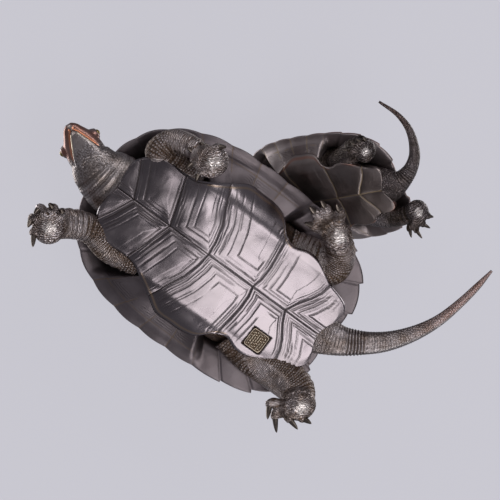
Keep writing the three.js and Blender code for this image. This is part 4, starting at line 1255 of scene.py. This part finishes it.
def bronze(tree, colour, roughness, relief=None, strength=0.0, metallic=1.0):
    """Metal of a colour and roughness, with a relief up to 0.4 mm high that is drawn and not modelled."""
    inputs = {"Base Color": colour, "Metallic": metallic, "Roughness": roughness}
    if relief is not None:
        bump = add(tree, "ShaderNodeBump", {"Height": relief, "Strength": strength, "Distance": 0.0004})
        inputs["Normal"] = bump.outputs["Normal"]
    closed_off(tree, add(tree, "ShaderNodeBsdfPrincipled", inputs).outputs["BSDF"])


def plate_bronze(name, field, cloudy, groove, rough, edging="#7d4a38"):
    """Cast bronze with a dark patina: satin plates, brown left in the furrows, cloudy rubbed tone, and
    painted shade ahead on the belly.
    """
    material, tree = fresh(name)
    place = object_place(tree)
    furrow = painted(tree, "furrow")
    cloudiness = noise(tree, place, 60.0, 5.0)
    tone = blend(tree, spread(tree, cloudiness, 0.35, 0.68), linear(field), linear(cloudy))
    # Painted shade: the belly is darker ahead.
    tone = blend(tree, painted(tree, "painted_shade_ahead"), tone, linear("#3a3436"))
    colour = blend(tree, spread(tree, furrow, 0.3, 1.0), tone, linear(groove))
    # Growth lines 1.2 mm apart on the bridge.
    wave = waves(tree, painted(tree, "growth"), 1.2, noise(tree, place, 250.0, 2.0), 0.4)
    cut = maths(tree, "MULTIPLY", spread(tree, wave, 0.4, 1.0), painted(tree, "grown"))
    colour = blend(tree, spread(tree, cut, 0.0, 1.0, 0.0, 0.5), colour, linear("#2c2521"))
    # Red-brown lacquer is left here and there along the shell's rim.
    colour = blend(tree, painted(tree, "rim"), colour, linear(edging))
    roughness = maths(tree, "ADD", spread(tree, cloudiness, 0.3, 0.7, rough, rough + 0.09),
                      spread(tree, furrow, 0.2, 1.0, 0.0, 0.25))
    # Casting grit 1.1 mm across, which the smoother plates hardly show.
    grit = spread(tree, noise(tree, place, 900.0, 3.0), 0, 1, 0, 0.12 if rough < 0.35 else 0.4)
    bronze(tree, colour, roughness, maths(tree, "SUBTRACT", grit, cut), 0.4)
    return material


def skin_bronze(name, high, low, deep, wear_and_highlight, beak, mouth):
    """Cast bronze worked into scales: dark tops, warm brown between them, soles rubbed bright in use, with
    painted highlights on them and on the tail's side.
    """
    material, tree = fresh(name)
    place = object_place(tree)
    rubbed_and_lit = painted(tree, "wear_and_highlight")
    plain = painted(tree, "plain")
    # Fine creases, 1 mm apart, and scales between the modelled ones, about 1.1 mm across.
    stray = noise(tree, place, 350.0, 2.0)
    wave = waves(tree, painted(tree, "crease"), 1.0, stray, 0.9)
    fine = add(tree, "ShaderNodeTexVoronoi", {"Vector": place, "Scale": 900.0}, feature="DISTANCE_TO_EDGE")
    scales = spread(tree, fine.outputs["Distance"], 0.0, 0.25)
    edge = between(tree, painted(tree, "creased"), scales, spread(tree, wave, -1, 0.6))
    edge = between(tree, plain, edge, 0.8)
    tone = blend(tree, spread(tree, noise(tree, place, 90.0, 4.0), 0.3, 0.75), linear(high), linear(low))
    tone = blend(tree, spread(tree, edge, 0.0, 0.6, 0.85, 0.0), tone, linear(deep))
    tone = blend(tree, spread(tree, painted(tree, "recess"), 0.15, 0.75, 0.0, 0.9), tone, linear(deep))
    tone = blend(tree, spread(tree, plain, 0.0, 1.0, 0.0, 0.5), tone, linear("#453f41"))
    for part, shade in (("beak", beak), ("mouth", mouth), ("lip", "#e0d2b8")):
        tone = blend(tree, painted(tree, part), tone, linear(shade))
    # Worn soles and painted highlights turn bright.
    bright = blend(tree, spread(tree, edge, 0.0, 0.7, 0.7, 0.0), linear(wear_and_highlight), linear(low))
    colour = blend(tree, rubbed_and_lit, tone, bright)
    ruffled = spread(tree, plain, 0.0, 1.0, 1.0, 0.15)
    relief = maths(tree, "ADD", edge, maths(tree, "MULTIPLY", ruffled, spread(tree, stray, 0.3, 0.7)))
    bronze(tree, colour, spread(tree, rubbed_and_lit, 0.0, 1.0, 0.34, 0.28), relief, 0.9)
    return material


def horn_bronze():
    """Claws: the same bronze, darker and rubbed smooth."""
    material, tree = fresh("claw bronze")
    streak = noise(tree, object_place(tree), 400.0, 2.0)
    bronze(tree, blend(tree, streak, linear("#463e3a"), linear("#857a72")), 0.3)
    return material


def eye_bronze():
    """Eyes: gilt bronze gone olive, round a dark pupil."""
    material, tree = fresh("olive gilt eye")
    fleck = noise(tree, object_place(tree), 1500.0, 2.0)
    iris = blend(tree, fleck, linear("#6d5a2e"), linear("#a08c4e"))
    bronze(tree, blend(tree, painted(tree, "pupil"), iris, linear("#0c0a09")), 0.16, metallic=0.7)
    return material


def seal_bronze():
    """The seal's cast strokes: rubbed tops, dark brown ground."""
    material, tree = fresh("seal bronze")
    stain = noise(tree, object_place(tree), 500.0, 3.0)
    ground = blend(tree, stain, linear("#3d3128"), linear("#5f4f3f"))
    stroke = spread(tree, painted(tree, "stroke"), 0.3, 0.7)
    bronze(tree, blend(tree, stroke, ground, linear("#d2c2ae")), 0.42)
    return material


# The turtles

def as_is(points):
    return points


def turtle(prefix, pose, hind_feet, detail, place, finishes, node, seed):
    """All pieces of one casting."""
    shell, plates, skin, horn, eyes = finishes
    tree = claw_tree()

    def done(piece, material):
        return finished(piece, place, material, node)

    done(shell_piece(f"{prefix}_shell", detail, seed), shell)
    done(belly_piece(f"{prefix}_belly", detail, seed + 20), plates)
    done(core_piece(f"{prefix}_body", seed), skin)
    done(head_piece(f"{prefix}_head", pose, detail, seed + 40), skin)
    done(eye_piece(f"{prefix}_eyes", pose), eyes)
    done(tail_piece(f"{prefix}_tail", pose, detail), skin)
    for k, (limb, stations) in enumerate(pose["limbs"].items()):
        spec = pose["feet"].get(limb)
        if spec:
            done(leg_piece(f"{prefix}_{limb}", stations, spec, detail, seed + 60 + k), skin)
            done(claw_piece(f"{prefix}_{limb}_claws", spec, tree, horn), horn)
            continue
        # A foot that stands beside the large turtle is shaped there and carried into the young one's frame.
        spec = hind_feet[limb]
        skins = [loft(tube(stations, 40, 36))]
        skins += [(unplaced(points), quads, ends) for points, quads, ends in foot_skins(spec, YOUNG_SCALE)]
        piece = fused(f"{prefix}_{limb}", skins, detail["grain"], 4)
        heel = unplaced([[*spec["heel"], spec["floor"] + 2]])[0]
        recess = skin_relief(piece, stations, heel, 2.0, seed + 60 + k)
        move_to(piece.data, placed(coordinates(piece.data)))
        settle(piece, spec, recess, YOUNG_SCALE)
        finished(piece, as_is, skin, node)
        own_claws = claw_piece(f"{prefix}_{limb}_claws", spec, tree, horn, YOUNG_SCALE)
        finished(own_claws, as_is, horn, node)


YOUNG_FRAME = (Matrix.Translation(YOUNG_PLACE) @ Matrix.Rotation(math.radians(YOUNG_HEADING), 4, "Z")
               @ Matrix.Rotation(math.radians(-YOUNG_PITCH), 4, "Y")
               @ Matrix.Rotation(math.radians(YOUNG_ROLL), 4, "X") @ Matrix.Scale(YOUNG_SCALE, 4)
               @ Matrix.Translation((0, 0, -BELLY)))


def placed(points):
    """Points of the young turtle's own frame, carried into the large one's."""
    return moved(points, YOUNG_FRAME)


def unplaced(points):
    """Points of the large turtle's frame, carried into the young one's own."""
    return moved(points, YOUNG_FRAME.inverted())


# Studio

# The view: the camera looks up at the belly from 12 degrees ahead of and 2 degrees left of straight below.
LEAN_AHEAD = math.radians(12)
LEAN_LEFT = math.radians(2)
VIEW_UP = Vector((0.5801, 0.8002, 0.1520))
CAMERA_PLACE = (197.09, 52.36, -966.70)
LENS = 116.13


def studio_camera():
    back = Vector((math.sin(LEAN_AHEAD), math.sin(LEAN_LEFT), 0))
    back.z = -math.sqrt(1 - back.length_squared)
    up = (VIEW_UP - back * VIEW_UP.dot(back)).normalized()
    right = up.cross(back)
    data = bpy.data.cameras.new("camera")
    data.lens = LENS
    data.sensor_width = 36
    data.clip_start = 0.01
    camera = linked("camera", data)
    place = (Vector(CAMERA_PLACE) - Vector((*GROUP_MIDDLE, 0))) * MM
    turned = Matrix((right, up, back)).transposed().to_4x4()
    camera.matrix_world = Matrix.Translation(place) @ turned
    bpy.context.scene.camera = camera


def paper(name, height, faces_up, shade):
    """A sheet of pale paper, seen from one side only, so that a view through its back shows the object."""
    half = 3.0
    corners = [(-half, -half, height), (half, -half, height), (half, half, height), (-half, half, height)]
    mesh = bpy.data.meshes.new(name)
    mesh.from_pydata(corners, [], [(0, 1, 2, 3) if faces_up else (3, 2, 1, 0)])
    sheet = linked(name, mesh)
    material, tree = fresh(f"{name} paper")
    back = add(tree, "ShaderNodeNewGeometry").outputs["Backfacing"]
    # Mostly lit from behind, as a light table is, so it stays even. The rest takes a faint soft shadow.
    glow = add(tree, "ShaderNodeEmission", {"Color": linear(shade), "Strength": 0.9})
    matt = add(tree, "ShaderNodeBsdfDiffuse", {"Color": linear("#5a595e")})
    lit = add(tree, "ShaderNodeAddShader", {0: glow.outputs["Emission"], 1: matt.outputs["BSDF"]})
    clear = add(tree, "ShaderNodeBsdfTransparent")
    both = add(tree, "ShaderNodeMixShader", {0: back, 1: lit.outputs["Shader"], 2: clear.outputs["BSDF"]})
    closed_off(tree, both.outputs["Shader"])
    mesh.materials.append(material)
    sheet.visible_shadow = False
    sheet.visible_diffuse = False
    sheet.visible_glossy = False


def soft_light(name, place, aim, size, power, roll):
    data = bpy.data.lights.new(name, "AREA")
    data.shape = "RECTANGLE"
    data.size, data.size_y = size
    data.energy = power
    lamp = linked(name, data)
    lamp.location = place
    turned = (Vector(aim) - Vector(place)).to_track_quat("-Z", "Y").to_matrix()
    lamp.rotation_euler = (turned @ Matrix.Rotation(math.radians(roll), 3, "Z")).to_euler()


# Each light's place in metres, its sides, power and roll. The low ones are for the belly: the first is a
# wide box that the belly's rear half mirrors, and the others are for its sides. The high ones are for the
# shells.
LIGHTS = [
    ("low rear box", (-0.33, -0.11, -0.93), (0.58, 0.44), 2.7, 28),
    ("low left box", (0.1, 1.0, -0.75), (0.6, 0.5), 3.0, 0),
    ("low right box", (-0.7, -0.9, -0.35), (0.5, 0.5), 3.0, 0),
    ("low tail box", (-1.1, -0.1, -0.3), (0.4, 0.4), 1.0, 0),
    ("low front box", (0.95, 0.25, -0.5), (0.5, 0.5), 1.7, 0),
    ("high front box", (0.9, -0.7, 1.1), (0.9, 0.9), 9, 0),
    ("high rear box", (-0.8, 0.9, 0.9), (0.7, 0.7), 4, 0),
]
PAPER = "#c8c7cf"


def studio():
    top = CAD_BOX[1][2]
    paper("floor", -0.0004, True, PAPER)
    paper("backdrop", top + 0.004, False, PAPER)
    middle = (0, 0, top / 2)
    for name, place, size, power, roll in LIGHTS:
        soft_light(name, place, middle, size, power, roll)
    world = bpy.data.worlds.new("studio")
    world.use_nodes = True
    background = world.node_tree.nodes["Background"]
    background.inputs["Color"].default_value = linear("#c9c9d2")
    background.inputs["Strength"].default_value = 0.34
    bpy.context.scene.world = world
    bpy.context.scene.view_settings.view_transform = "Standard"


studio_camera()

dark_shell = plate_bronze("dull dark bronze shell", "#6b6264", "#7d7477", "#7d6b5a", 0.4)
dark_plates = plate_bronze("dark bronze plates with painted shade", "#857c80", "#938a8d", "#2b2320", 0.22, "#a8917b")
dark_skin = skin_bronze("scaled brown bronze", "#d4cacc", "#8d7b6f", "#523e2e", "#e0d8d6",
                        "#8a5442", "#f09463")
claws = horn_bronze()
eyes = eye_bronze()
dark = (dark_shell, dark_plates, dark_skin, claws, eyes)
turtle("mother", MOTHER, {}, MOTHER_DETAIL, as_is, dark, "mother_turtle", 1)
finished(seal_piece("mother_seal"), as_is, seal_bronze(), "mother_turtle")

young_shell = plate_bronze("dull brown bronze shell", "#968b8b", "#a89d9d", "#a08e76", 0.4, "#96553c")
young_plates = plate_bronze("brown bronze plates", "#827876", "#988c89", "#a89478", 0.32, "#96573c")
young_skin = skin_bronze("scaled black bronze", "#8f8689", "#62554f", "#30271f", "#d2cac8",
                         "#5b3a2c", "#9c5e3c")
brown = (young_shell, young_plates, young_skin, claws, eyes)
turtle("young", YOUNG, YOUNG_HIND_FEET, YOUNG_DETAIL, placed, brown, "young_turtle", 5)

studio()
